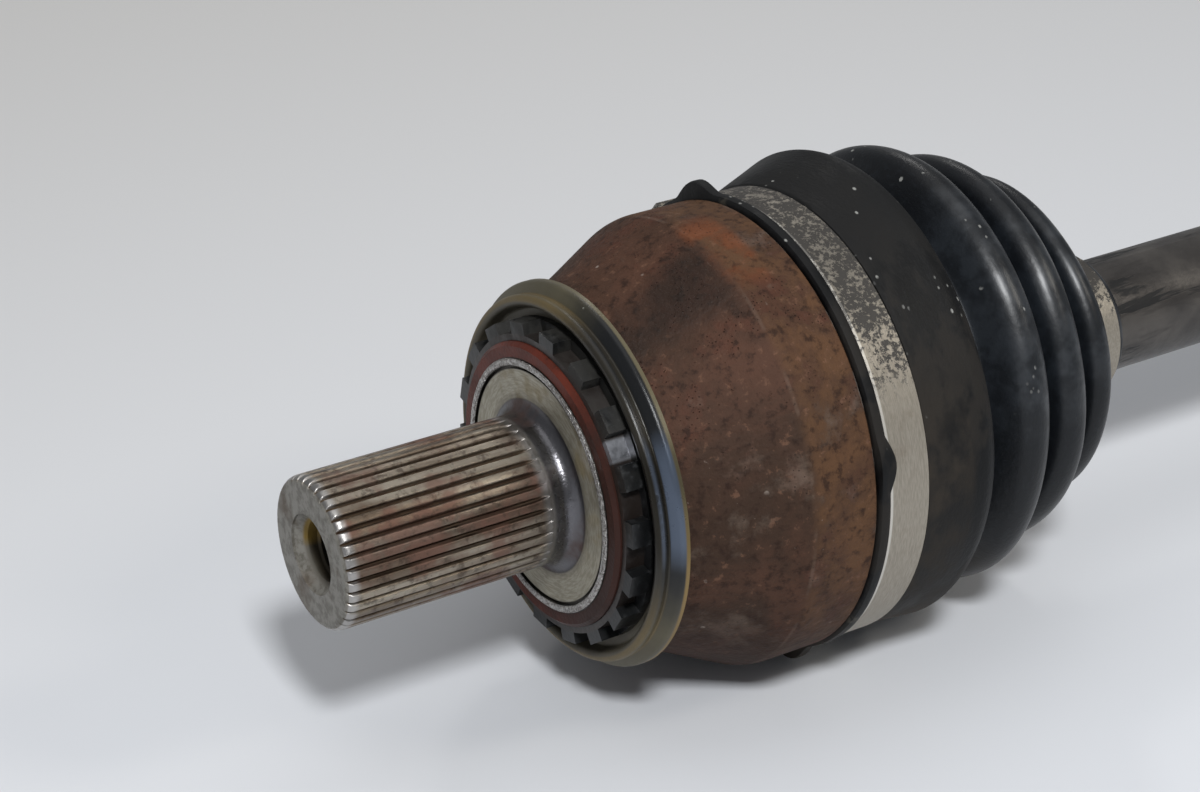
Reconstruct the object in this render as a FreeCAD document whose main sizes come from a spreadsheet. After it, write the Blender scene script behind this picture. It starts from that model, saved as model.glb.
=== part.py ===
import FreeCAD, Part
import math
import os
import re
import Sketcher

# Half shaft for a driven and steered wheel: a fixed ball joint with its splined
# stub axle, a solid bar, and a plunging ball joint with a six-bolt flange.
# X runs along the shaft. The origin is the centre of the stub axle's end face,
# where the axle bolt goes in. +Z is up, and every size is in millimetres.

SIZES = {
    # stub axle, measured from the end face
    "stub_tip_r": 15.5,
    "stub_tooth_depth": 1.3,
    "stub_teeth": 38,
    "stub_teeth_end": 45.0,
    "stub_run_out": 2.4,
    "stub_chamfer": 1.5,
    "neck_length": 5.7,
    "neck_fillet": 2.9,
    "axle_bolt_r": 6.25,
    "axle_bolt_depth": 42.0,
    "bolt_lead": 1.95,
    "bolt_lead_flat": 0.6,
    # hub shoulder
    "shoulder_r": 29.6,
    "shoulder_chamfer": 0.8,
    "wear_ring_inset": 3.2,
    "wear_ring_width": 1.6,
    "wear_ring_proud": 0.5,
    "wear_ring_round": 0.3,
    "ring_groove": 0.6,
    "ring_seat_length": 8.0,
    # bell, whose lengths are measured from the ball joint's centre
    "joint_x": 88.0,
    "bell_neck_drop": 12.8,
    "cone_drop": 6.5,
    "cone_start": 16.0,
    "barrel_start": 3.0,
    "barrel_round": 9.0,
    "floor_depth": 30.5,
    "boot_step_start": 11.5,
    "boot_step": 3.0,
    "step_chamfer": 0.5,
    "mouth_depth": 24.0,
    "mouth_wall": 3.4,
    "mouth_lead": 8.2,
    "mouth_lead_depth": 7.6,
    "mouth_chamfer": 0.8,
    "bead_groove_depth": 0.9,
    "bead_groove_inset": 2.0,
    "bead_groove_length": 6.2,
    # ring of blocks behind the shoulder
    "block_count": 18,
    "block_phase": 3.0,
    "block_width": 5.2,
    "block_height": 2.4,
    "block_web": 1.35,
    "block_start": 1.2,
    "block_disc": 1.6,
    "press_play": 0.05,
    # dust shield
    "shield_thick": 1.0,
    "dish_gap": 2.0,
    "dish_round": 0.6,
    "bead_rise": 1.5,
    "bead_reach": 2.9,
    "bead_round": 1.2,
    "groove_rise": 0.1,
    "groove_round": 0.35,
    "rim_rise": 4.8,
    "rim_round": 1.2,
    "rim_back": 1.9,
    "rim_flat": 1.1,
    # ball joints
    "joint_span": 440.0,
    "ball_count": 6,
    "ball_r": 8.75,
    "outer_pitch_r": 33.0,
    "inner_pitch_r": 31.0,
    "track_offset": 4.0,
    "track_play": 0.25,
    "track_wall": 2.8,
    "track_sweep": 90.0,
    "cage_wall": 4.35,
    "cage_out": 4.0,
    "cage_half": 15.0,
    "cage_play": 0.25,
    "window_play": 0.4,
    "window_travel": 1.6,
    "window_round": 3.0,
    "star_half": 13.0,
    # solid bar
    "bar_r": 12.75,
    "bar_tip_step": 0.25,
    "bar_tooth_depth": 1.1,
    "bar_teeth": 26,
    "bar_spline_play": 0.05,
    "bar_end": 17.0,
    "bar_neck_step": 0.75,
    "bar_neck_length": 22.0,
    "bar_neck_taper": 6.0,
    "bar_chamfer": 1.2,
    "snap_wire_r": 1.0,
    "snap_bite": 0.5,
    "snap_play": 0.05,
    "snap_gap_angle": 30.0,
    # both boots
    "boot_wall": 2.2,
    "boot_gap": 0.3,
    "boot_play": 0.05,
    "ridge_round": 2.5,
    "valley_round": 2.6,
    "boot_neck_wall": 2.7,
    "boot_neck_round": 3.0,
    "boot_neck_taper": 3.4,
    # outer boot: ridges against its band seat, valleys against the ridge before them
    "boot_lip_rise": 1.5,
    "boot_lip_length": 2.6,
    "band_shoulder": 0.6,
    "ridge_a_start": 13.6,
    "ridge_a_rise": 1.7,
    "valley_a_depth": 10.3,
    "ridge_b_step": 17.0,
    "ridge_b_rise": -0.6,
    "valley_b_depth": 12.6,
    "ridge_c_step": 13.4,
    "ridge_c_rise": -4.8,
    "valley_c_depth": 14.2,
    "ridge_d_step": 12.0,
    "ridge_d_rise": -10.8,
    "boot_neck_step": 9.0,
    "boot_neck_length": 14.0,
    # boot clamps
    "band_play": 0.02,
    "band_side_play": 0.1,
    "band_thick": 0.9,
    "band_width": 9.4,
    "small_band_width": 7.0,
    "small_band_inset": 2.0,
    "ear_height": 3.6,
    "ear_width": 9.0,
    "ear_lean": 1.7,
    "ear_inset": 0.6,
    # plunging joint's flange ring
    "flange_front": 28.0,
    "flange_back": 37.0,
    "flange_chamfer": 1.0,
    "bolt_count": 6,
    "bolt_hole_r": 4.2,
    "bolt_wall": 1.4,
    "rim_past_bolts": 0.5,
    "lobe_wall": 3.4,
    "lobe_fillet": 4.0,
    # grease cap
    "track_cover": 1.4,
    "grease_cap_depth": 4.0,
    "grease_cap_wall": 1.0,
    "grease_dome": 3.0,
    "grease_dome_rise": 8.0,
    # sheet-metal boot cap of the plunging joint
    "cap_thick": 1.2,
    "bolt_head_room": 6.6,
    "cap_length": 21.0,
    "cap_round": 4.0,
    "cap_bead_rise": 1.0,
    "cap_bead_length": 2.6,
    # inner boot, measured from the flange ring's front face
    "collar_start": 9.0,
    "collar_length": 13.0,
    "collar_wall": 2.0,
    "collar_rim_rise": 0.8,
    "collar_rim_length": 1.6,
    "collar_taper": 2.0,
    "collar_drop": 2.6,
    "inner_ridge_a_start": 31.0,
    "inner_ridge_a_rise": 1.1,
    "inner_valley_a_depth": 4.5,
    "inner_ridge_b_step": 13.0,
    "inner_ridge_b_rise": 0.6,
    "inner_valley_b_depth": 5.5,
    "inner_ridge_c_step": 12.0,
    "inner_ridge_c_rise": -3.4,
    "inner_valley_c_depth": 11.5,
    "inner_ridge_d_step": 11.0,
    "inner_ridge_d_rise": -11.4,
    "inner_neck_step": 9.0,
    "inner_neck_length": 14.0,
}

# what follows from the sizes, so that pieces that fit each other stay together
RELATIONS = {
    "stub_root_r": "stub_tip_r - stub_tooth_depth",
    "shoulder_x": "stub_teeth_end + neck_length",
    "ring_seat_end": "shoulder_x + ring_seat_length",
    "wear_ring_r": "shoulder_r - wear_ring_inset",
    "block_bore_r": "shoulder_r + press_play",
    "block_base_r": "block_bore_r + block_web",
    "block_top_r": "block_base_r + block_height",
    "block_length": "ring_seat_length - shield_thick - block_start - press_play",
    "dish_r": "block_top_r + dish_gap",
    "boot_seat_r": "outer_pitch_r + ball_r + track_play + track_wall",
    "barrel_r": "boot_seat_r + boot_step",
    "mouth_x": "joint_x + mouth_depth",
    "mouth_r": "boot_seat_r - mouth_wall",
    "bell_floor_x": "joint_x - floor_depth",
    "boot_step_x": "joint_x + boot_step_start",
    "inner_joint_x": "joint_x + joint_span",
    "bar_tip_r": "bar_r - bar_tip_step",
    "bar_root_r": "bar_tip_r - bar_tooth_depth",
    "bar_neck_r": "bar_r - bar_neck_step",
    "snap_groove_r": "bar_tip_r - 2 * snap_wire_r + snap_bite",
    "snap_groove_width": "2 * snap_wire_r + 2 * snap_play",
    "boot_neck_r": "bar_r + boot_play + boot_neck_wall",
    "boot_band_r": "boot_seat_r + boot_wall",
    "lip_x": "boot_step_x + boot_gap",
    "band_x": "lip_x + boot_lip_length",
    "ridge_a_r": "boot_band_r + ridge_a_rise",
    "ridge_b_r": "boot_band_r + ridge_b_rise",
    "ridge_c_r": "boot_band_r + ridge_c_rise",
    "ridge_d_r": "boot_band_r + ridge_d_rise",
    "ridge_a_x": "mouth_x + ridge_a_start",
    "ridge_b_x": "ridge_a_x + ridge_b_step",
    "ridge_c_x": "ridge_b_x + ridge_c_step",
    "ridge_d_x": "ridge_c_x + ridge_d_step",
    "boot_neck_x": "ridge_d_x + boot_neck_step",
    "boot_end_x": "boot_neck_x + boot_neck_length",
    "flange_face_x": "inner_joint_x - flange_front",
    "flange_end_x": "inner_joint_x + flange_back",
    "flange_length": "flange_front + flange_back",
    "flange_bore_r": "inner_pitch_r + cage_out + cage_play",
    "grease_cap_r": "inner_pitch_r + ball_r + track_play + track_cover",
    "bolt_circle_r": "grease_cap_r + bolt_hole_r + bolt_wall",
    "flange_r": "bolt_circle_r + rim_past_bolts",
    "lobe_r": "bolt_hole_r + lobe_wall",
    "cap_tube_r": "bolt_circle_r - bolt_head_room",
    "cap_bead_r": "cap_tube_r + cap_bead_rise",
    "collar_r": "cap_bead_r + collar_wall",
    "collar_end": "collar_start + collar_length",
    "inner_ridge_a_r": "collar_r + inner_ridge_a_rise",
    "inner_ridge_b_r": "collar_r + inner_ridge_b_rise",
    "inner_ridge_c_r": "collar_r + inner_ridge_c_rise",
    "inner_ridge_d_r": "collar_r + inner_ridge_d_rise",
    "inner_ridge_a_x": "inner_ridge_a_start",
    "inner_ridge_b_x": "inner_ridge_a_x + inner_ridge_b_step",
    "inner_ridge_c_x": "inner_ridge_b_x + inner_ridge_c_step",
    "inner_ridge_d_x": "inner_ridge_c_x + inner_ridge_d_step",
    "inner_neck_x": "inner_ridge_d_x + inner_neck_step",
    "inner_boot_end": "inner_neck_x + inner_neck_length",
}

doc = FreeCAD.newDocument("half_shaft")
sheet = doc.addObject("Spreadsheet::Sheet", "Sizes")
for row, (word, number) in enumerate(SIZES.items(), start=1):
    sheet.set(f"A{row}", word)
    sheet.set(f"B{row}", str(number))
    sheet.setAlias(f"B{row}", word)
doc.recompute()

X_AXIS = FreeCAD.Vector(1, 0, 0)
Z_AXIS = FreeCAD.Vector(0, 0, 1)
CENTRE = FreeCAD.Vector(0, 0, 0)
FIRST_BALL_AZIMUTH = 90.0
CLEAR = 1.0  # how far a cutting tool runs past what it cuts
nodes = []


def formula(text):
    """The text with each size led by the sheet's name, and each relation written out."""

    def written_out(word):
        if word[0] in SIZES:
            return f"Sizes.{word[0]}"
        if word[0] in RELATIONS:
            return f"({formula(RELATIONS[word[0]])})"
        return word[0]

    return re.sub(r"[a-z]\w*", written_out, str(text))


def size(text):
    """The number that a formula of sizes gives."""
    return float(sheet.evalExpression(formula(text)))


def bind(feature, **formulas):
    """Ties properties to formulas of sizes; a double underscore stands for a dot."""
    for name, text in formulas.items():
        feature.setExpression(name.replace("__", "."), formula(text))
    return feature


def origin_feature(body, role):
    """One of a body's own origin planes or axes."""
    return next(item for item in body.Origin.OriginFeatures if item.Role == role)


def new_body(name, station="0", facing_back=False):
    """A body whose own x starts at a station of the shaft; one that faces back is turned half round Z."""
    body = doc.addObject("PartDesign::Body", name)
    if facing_back:
        body.Placement.Rotation = FreeCAD.Rotation(Z_AXIS, 180)
    return bind(body, Placement__Base__x=station)


def new_sketch(body, name, plane, station=None):
    """An empty sketch on one of the body's own planes, moved along x where a station is given."""
    sketch = body.newObject("Sketcher::SketchObject", name)
    sketch.AttachmentSupport = [(origin_feature(body, plane), "")]
    sketch.MapMode = "FlatFace"
    if station is not None:
        bind(sketch, AttachmentOffset__Base__z=station)
    return sketch


def fix_point(sketch, geometry, end, across, along):
    """Holds a sketch point at two formulas; a formula of 0 puts it on the sketch's own axis."""
    for kind, text, axis in (("DistanceX", across, -2), ("DistanceY", along, -1)):
        if text == "0":
            sketch.addConstraint(Sketcher.Constraint("PointOnObject", geometry, end, axis))
        else:
            held = Sketcher.Constraint(kind, -1, 1, geometry, end, size(text))
            number = sketch.addConstraint(held)
            sketch.setExpression(f"Constraints[{number}]", formula(text))


def closed_lines(sketch, points):
    """Straight lines from point to point and back to the first, each corner held at its formulas."""
    corners = [FreeCAD.Vector(size(across), size(along), 0) for across, along in points]
    count = len(points)
    for i in range(count):
        sketch.addGeometry(Part.LineSegment(corners[i], corners[(i + 1) % count]))
    for i in range(count):
        sketch.addConstraint(Sketcher.Constraint("Coincident", i, 2, (i + 1) % count, 1))
    for i, (across, along) in enumerate(points):
        fix_point(sketch, i, 1, across, along)
    return sketch


def turn(body, points, name="turned"):
    """A solid turned about the shaft's axis from an outline of x and radius."""
    sketch = closed_lines(new_sketch(body, f"{body.Name}_{name}_outline", "XZ_Plane"), points)
    feature = body.newObject("PartDesign::Revolution", f"{body.Name}_{name}")
    feature.Profile = sketch
    feature.ReferenceAxis = (sketch, ["H_Axis"])
    feature.Angle = 360
    doc.recompute()
    return feature


def fillet(body, feature, edge_names, radius):
    """A fillet on some edges of a body's feature."""
    rounded = body.newObject("PartDesign::Fillet", f"{feature.Name}_rounded")
    rounded.Base = (feature, edge_names)
    bind(rounded, Radius=radius)
    doc.recompute()
    return rounded


def rims(feature, places):
    """The names of the circular edges at the given x and radius, in the body's own frame."""
    wanted = [(size(x), size(r)) for x, r in places]
    names = []
    for number, edge in enumerate(feature.Shape.Edges, start=1):
        if isinstance(edge.Curve, Part.Circle):
            here = (edge.Curve.Center.x, edge.Curve.Radius)
            if any(math.dist(here, place) < 0.01 for place in wanted):
                names.append(f"Edge{number}")
    return names


def lobe_roots(feature):
    """The names of the edges along x where a lobe meets the rim; a surface's own seam isn't one."""
    names = []
    for number, edge in enumerate(feature.Shape.Edges, start=1):
        along_x = isinstance(edge.Curve, Part.Line) and abs(edge.Curve.Direction.x) > 0.999
        if along_x and len(feature.Shape.ancestorsOfType(edge, Part.Face)) == 2:
            names.append(f"Edge{number}")
    return names


def circle_sketch(body, name, station, radius, across="0", along="0"):
    """A circle on a plane square to the shaft."""
    sketch = new_sketch(body, name, "YZ_Plane", station)
    centre = FreeCAD.Vector(size(across), size(along), 0)
    sketch.addGeometry(Part.Circle(centre, Z_AXIS, size(radius)))
    number = sketch.addConstraint(Sketcher.Constraint("Radius", 0, size(radius)))
    sketch.setExpression(f"Constraints[{number}]", formula(radius))
    fix_point(sketch, 0, 3, across, along)
    return sketch


def pad(body, sketch, length):
    """Material added from a sketch towards +x."""
    feature = body.newObject("PartDesign::Pad", f"{sketch.Name}_pad")
    feature.Profile = sketch
    return bind(feature, Length=length)


def around(body, feature, count):
    """A feature repeated evenly about the shaft's axis."""
    pattern = body.newObject("PartDesign::PolarPattern", f"{feature.Name}_ring")
    pattern.Originals = [feature]
    pattern.Axis = (origin_feature(body, "X_Axis"), [""])
    pattern.Angle = 360
    bind(pattern, Occurrences=count)
    body.Tip = pattern
    doc.recompute()
    return pattern


def solid(kind, name, **formulas):
    """One of the plain solids, sized by formulas."""
    return bind(doc.addObject(f"Part::{kind}", name), **formulas)


def place(feature, station):
    """Stands a plain solid's own Z axis along the shaft, at a station."""
    feature.Placement.Rotation = FreeCAD.Rotation(Z_AXIS, X_AXIS)
    return bind(feature, Placement__Base__x=station)


def place_at(feature, station, radius, azimuth):
    """The same, with its axis at a radius and an azimuth from the shaft's."""
    feature = place(feature, station)
    angle = math.radians(azimuth)
    return bind(
        feature,
        Placement__Base__y=f"({radius}) * {math.cos(angle):.12f}",
        Placement__Base__z=f"({radius}) * {math.sin(angle):.12f}",
    )


def cut(name, base, tools):
    """A base with tools taken away, one after another."""
    for number, tool in enumerate(tools, start=1):
        step = doc.addObject("Part::Cut", f"{name}_step{number}")
        step.Base = base
        step.Tool = tool
        base = step
    return base


def common(name, base, tool):
    """What two solids share."""
    feature = doc.addObject("Part::Common", name)
    feature.Base = base
    feature.Tool = tool
    return feature


def own_shape(name, shape):
    """A shape made from Part's own functions."""
    feature = doc.addObject("Part::Feature", name)
    feature.Shape = shape
    return feature


def finish(name, feature):
    """Names a sub-part, and lists it for the files."""
    feature.Label = name
    nodes.append(feature)
    return feature


def azimuths(count, first):
    """Angles about the shaft from +Y towards +Z, evenly spaced."""
    total = int(size(count))
    return [first + 360.0 * k / total for k in range(total)]


def copies_around(shape, count):
    """One compound of a shape turned to every place about the shaft's axis."""
    copies = []
    for azimuth in azimuths(count, 0.0):
        copy = shape.copy()
        copy.rotate(CENTRE, X_AXIS, azimuth)
        copies.append(copy)
    return Part.makeCompound(copies)


def flute(tip_r, root_r, teeth, start, end, run_out=0.0, play=0.0):
    """The space between two spline teeth: a groove with a round floor that climbs out at its end."""
    floor_share = 0.32  # how much of the pitch the groove takes at its floor and at its mouth
    mouth_share = 0.68
    over = tip_r + CLEAR / 2
    pitch_angle = 2 * math.pi / teeth
    root_half = floor_share * pitch_angle * root_r / 2 - play
    mouth_half = mouth_share * pitch_angle * over / 2 - play

    def section(x, floor_r, floor_half):
        left = FreeCAD.Vector(x, -floor_half, floor_r + floor_half / 2)
        right = FreeCAD.Vector(x, floor_half, floor_r + floor_half / 2)
        floor = Part.Arc(left, FreeCAD.Vector(x, 0, floor_r), right).toShape()
        mouth = [FreeCAD.Vector(x, mouth_half, over), FreeCAD.Vector(x, -mouth_half, over)]
        return Part.Wire([floor, *Part.makePolygon([right, *mouth, left]).Edges])

    stations = [section(start, root_r, root_half), section(end, root_r, root_half)]
    if run_out:
        stations.append(section(end + run_out, tip_r, root_half / 3))
    return Part.makeLoft(stations, True, True)


def curved_tracks(name, centre):
    """Ball tracks that bend about a point on the axis, as parts of a ring."""
    tracks = []
    for number, azimuth in enumerate(azimuths("ball_count", FIRST_BALL_AZIMUTH), start=1):
        ring = solid(
            "Torus",
            f"{name}_{number}",
            Radius1="sqrt(outer_pitch_r ^ 2 + track_offset ^ 2)",
            Radius2="ball_r + track_play",
            Angle3="track_sweep",
        )
        # the ring lies flat in its own XY plane: it is swung back by half its sweep, then stood up
        swing = FreeCAD.Rotation(Z_AXIS, 90 - size("track_sweep") / 2)
        ring.Placement.Rotation = FreeCAD.Rotation(X_AXIS, azimuth) * swing
        tracks.append(bind(ring, Placement__Base__x=centre))
    return tracks


def straight_holes(name, places, pitch, radius, start, length):
    """Straight round holes on a circle, ready to be cut."""
    tools = []
    for number, azimuth in enumerate(places, start=1):
        hole = solid("Cylinder", f"{name}_{number}", Radius=radius, Height=length)
        tools.append(place_at(hole, start, pitch, azimuth))
    return tools


def straight_tracks(name, start, length):
    """The plunging joint's ball tracks, parallel to the shaft."""
    places = azimuths("ball_count", FIRST_BALL_AZIMUTH)
    return straight_holes(name, places, "inner_pitch_r", "ball_r + track_play", start, length)


def outer_housing():
    """The wheel-side forging: splined stub axle, hub shoulder and bell."""
    body = new_body("housing_forging")
    groove_r = "wear_ring_r - wear_ring_width"
    bead_end = "mouth_x - bead_groove_inset"
    bead_start = f"{bead_end} - bead_groove_length"
    turned = turn(
        body,
        [
            ("axle_bolt_depth + axle_bolt_r * tan(30)", "0"),
            ("axle_bolt_depth", "axle_bolt_r"),
            ("bolt_lead + bolt_lead_flat", "axle_bolt_r"),
            ("bolt_lead_flat", "axle_bolt_r + bolt_lead"),
            ("0", "axle_bolt_r + bolt_lead"),
            ("0", "stub_tip_r - stub_chamfer"),
            ("stub_chamfer", "stub_tip_r"),
            ("shoulder_x", "stub_tip_r"),
            ("shoulder_x", f"{groove_r} - ring_groove"),
            ("shoulder_x + ring_groove", f"{groove_r} - ring_groove"),
            ("shoulder_x + ring_groove", groove_r),
            ("shoulder_x - wear_ring_proud + wear_ring_round", groove_r),
            ("shoulder_x - wear_ring_proud", f"{groove_r} + wear_ring_round"),
            ("shoulder_x - wear_ring_proud", "wear_ring_r - wear_ring_round"),
            ("shoulder_x - wear_ring_proud + wear_ring_round", "wear_ring_r"),
            ("shoulder_x", "wear_ring_r"),
            ("shoulder_x", "shoulder_r - shoulder_chamfer"),
            ("shoulder_x + shoulder_chamfer", "shoulder_r"),
            ("ring_seat_end", "shoulder_r"),
            ("ring_seat_end", "barrel_r - bell_neck_drop"),
            ("joint_x - cone_start", "barrel_r - cone_drop"),
            ("joint_x - barrel_start", "barrel_r"),
            ("boot_step_x - step_chamfer", "barrel_r"),
            ("boot_step_x", "barrel_r - step_chamfer"),
            ("boot_step_x", "boot_seat_r"),
            (bead_start, "boot_seat_r"),
            (f"{bead_start} + bead_groove_depth", "boot_seat_r - bead_groove_depth"),
            (f"{bead_end} - bead_groove_depth", "boot_seat_r - bead_groove_depth"),
            (bead_end, "boot_seat_r"),
            ("mouth_x - mouth_chamfer", "boot_seat_r"),
            ("mouth_x", "boot_seat_r - mouth_chamfer"),
            ("mouth_x", "mouth_r"),
            ("mouth_x - mouth_lead_depth", "mouth_r - mouth_lead"),
            ("bell_floor_x", "mouth_r - 2.5 * mouth_lead"),
            ("bell_floor_x", "0"),
        ],
    )
    necked = fillet(body, turned, rims(turned, [("shoulder_x", "stub_tip_r")]), "neck_fillet")
    fillet(body, necked, rims(necked, [("joint_x - barrel_start", "barrel_r")]), "barrel_round")
    seat_r = "(outer_pitch_r + cage_out + cage_play)"
    seat = solid("Sphere", "bell_seat", Radius=seat_r, Angle1=f"-asin(floor_depth / {seat_r})")
    tracks = curved_tracks("bell_track", "joint_x + track_offset")
    groove = flute(
        size("stub_tip_r"),
        size("stub_root_r"),
        size("stub_teeth"),
        -CLEAR,
        size("stub_teeth_end - stub_run_out"),
        size("stub_run_out"),
    )
    grooves = own_shape("stub_grooves", copies_around(groove, "stub_teeth"))
    tools = [place(seat, "joint_x"), *tracks, grooves]
    return finish("outer_housing", cut("housing", body, tools))


def castellated_ring():
    """The ring of blocks that is pressed on behind the hub shoulder."""
    body = new_body("block_ring", "shoulder_x + block_start")
    body.Placement.Rotation = FreeCAD.Rotation(X_AXIS, size("block_phase"))
    turn(
        body,
        [
            ("0", "block_bore_r"),
            ("0", "block_base_r"),
            ("block_length - block_disc", "block_base_r"),
            ("block_length - block_disc", "block_top_r"),
            ("block_length", "block_top_r"),
            ("block_length", "block_bore_r"),
        ],
    )
    half = "block_width / 2"
    foot = "block_base_r - block_web / 3"
    corners = [(f"-{half}", foot), (half, foot), (half, "block_top_r"), (f"-{half}", "block_top_r")]
    face = closed_lines(new_sketch(body, "block_face", "YZ_Plane"), corners)
    around(body, pad(body, face, "block_length - block_disc / 2"), "block_count")
    return finish("castellated_ring", body)


def flow(stops):
    """Edges of a smooth line past round stops: a positive bend passes over its stop, a negative under."""
    tangents = []
    for (x, r, bend), (next_x, next_r, next_bend) in zip(stops, stops[1:]):
        reach = math.hypot(next_x - x, next_r - r)
        slope = math.atan2(next_r - r, next_x - x) - math.asin((bend - next_bend) / reach)
        normal = (-math.sin(slope), math.cos(slope))
        start = FreeCAD.Vector(x + bend * normal[0], 0, r + bend * normal[1])
        end = FreeCAD.Vector(next_x + next_bend * normal[0], 0, next_r + next_bend * normal[1])
        tangents.append((start, end, slope))
    edges = []
    for i, (start, end, slope) in enumerate(tangents):
        if i > 0:
            x, r, bend = stops[i]
            last_end, last_slope = tangents[i - 1][1:]
            middle = (last_slope + slope) / 2
            if (last_end - start).Length > 1e-6:
                top = FreeCAD.Vector(x - bend * math.sin(middle), 0, r + bend * math.cos(middle))
                edges.append(Part.Arc(last_end, top, start).toShape())
        edges.append(Part.LineSegment(start, end).toShape())
    return edges, tangents[0][0], tangents[-1][1]


def turned_shell(name, outside, inside, station, facing_back=False):
    """A thin wall turned from its outside and inside lines, each a list of round stops."""
    over, over_start, over_end = flow(outside)
    under, under_start, under_end = flow(inside)
    ends = [
        Part.LineSegment(over_end, under_end).toShape(),
        Part.LineSegment(over_start, under_start).toShape(),
    ]
    wire = Part.Wire(Part.__sortEdges__([*over, *under, *ends]))
    shell = own_shape(f"{name}_shape", Part.Face(wire).revolve(CENTRE, X_AXIS, 360))
    if facing_back:
        shell.Placement.Rotation = FreeCAD.Rotation(Z_AXIS, 180)
    return finish(name, bind(shell, Placement__Base__x=station))


def stop(x, r, bend="0"):
    """A round stop from formulas."""
    return size(x), size(r), size(bend)


def dust_shield():
    """The pressed-steel shield: a flat web, a bead that stands forward, and a convex rim that runs back."""
    bead = ("-bead_reach + bead_round", "dish_r + bead_rise")
    groove = ("-bead_reach + 2 * bead_round", "dish_r + bead_rise + bead_round + groove_rise")
    rim_end = "shield_thick + rim_back"
    rim = (f"{rim_end} - rim_flat", "dish_r + rim_rise - rim_round")
    sides = []
    for wall in ("0", "shield_thick"):
        sides.append(
            [
                stop(wall, "block_bore_r"),
                stop("-dish_round", "dish_r - dish_round", f"-dish_round - {wall}"),
                stop(*bead, f"bead_round - {wall}"),
                stop(*groove, f"-groove_round - {wall}"),
                stop(*rim, f"rim_round - {wall}"),
                stop(rim_end, f"dish_r + rim_rise - {wall}"),
            ]
        )
    return turned_shell("dust_shield", *sides, "ring_seat_end - shield_thick")


def splined_bore(start, length):
    """The shape that a star's bore takes away, a little larger all round than the bar's spline."""
    play = size("bar_spline_play")
    tip = size("bar_tip_r") + play
    bar = Part.makeCylinder(tip, length, FreeCAD.Vector(start, 0, 0), X_AXIS)
    root = size("bar_root_r") + play
    groove = flute(tip, root, size("bar_teeth"), start - CLEAR, start + length + CLEAR, 0.0, play)
    return bar.cut(copies_around(groove, "bar_teeth"))


def star(prefix, pitch, centre, tracks):
    """A joint's inner race: a ball-shaped hub with six tracks and a splined bore."""
    radius = f"{pitch} + cage_out - cage_wall - cage_play"
    hub = place(solid("Sphere", f"{prefix}_star_ball", Radius=radius), centre)
    width = solid("Cylinder", f"{prefix}_star_width", Radius=radius, Height="2 * star_half")
    blank = common(f"{prefix}_star_blank", hub, place(width, f"{centre} - star_half"))
    bore = splined_bore(size(f"{centre} - star_half") - CLEAR, size("2 * star_half") + 2 * CLEAR)
    tools = [*tracks, own_shape(f"{prefix}_star_bore", bore)]
    return finish(f"{prefix}_star", cut(f"{prefix}_hub", blank, tools))


def window(name, pitch, centre, azimuth):
    """The space of one cage window: a block with rounded corners that reaches out past the cage."""
    block = solid(
        "Box",
        name,
        Length="2 * (ball_r + window_play)",
        Width="2 * (ball_r + window_travel)",
        Height=pitch,
    )
    # its middle lies over the joint's centre before it is turned to its azimuth
    bind(
        block,
        Placement__Base__x=f"{centre} - ball_r - window_play",
        Placement__Base__y="-ball_r - window_travel",
        Placement__Base__z=f"{pitch} / 2",
    )
    rounded = doc.addObject("Part::Fillet", f"{name}_rounded")
    rounded.Base = block
    doc.recompute()
    upright = []
    for number, edge in enumerate(block.Shape.Edges, start=1):
        if abs(edge.tangentAt(edge.FirstParameter).z) > 0.99:
            upright.append(number)
    rounded.Edges = [(number, size("window_round"), size("window_round")) for number in upright]
    rounded.Placement.Rotation = FreeCAD.Rotation(X_AXIS, azimuth - 90)
    return rounded


def cage(prefix, pitch, centre):
    """A joint's cage: a ball-shaped shell with a window for each ball."""
    over = solid("Sphere", f"{prefix}_cage_outside", Radius=f"{pitch} + cage_out")
    width = solid("Cylinder", f"{prefix}_cage_width", Radius=f"{pitch} + cage_out", Height="2 * cage_half")
    under = solid("Sphere", f"{prefix}_cage_inside", Radius=f"{pitch} + cage_out - cage_wall")
    blank = common(f"{prefix}_cage_blank", place(over, centre), place(width, f"{centre} - cage_half"))
    windows = []
    for number, azimuth in enumerate(azimuths("ball_count", FIRST_BALL_AZIMUTH), start=1):
        windows.append(window(f"{prefix}_window_{number}", pitch, centre, azimuth))
    tools = [place(under, centre), *windows]
    return finish(f"{prefix}_cage", cut(f"{prefix}_cage_cut", blank, tools))


def balls(prefix, pitch, centre):
    """A joint's balls, in the plane of its centre."""
    for number, azimuth in enumerate(azimuths("ball_count", FIRST_BALL_AZIMUTH), start=1):
        ball = solid("Sphere", f"{prefix}_ball_{number}_solid", Radius="ball_r")
        finish(f"{prefix}_ball_{number}", place_at(ball, centre, pitch, azimuth))


def snap_ring(prefix, station):
    """The open wire ring that stops a star from sliding off the bar."""
    ring = solid(
        "Torus",
        f"{prefix}_snap_wire",
        Radius1="snap_groove_r + snap_wire_r + snap_play",
        Radius2="snap_wire_r",
        Angle3="360 - snap_gap_angle",
    )
    return finish(f"{prefix}_snap_ring", place(ring, station))


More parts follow.
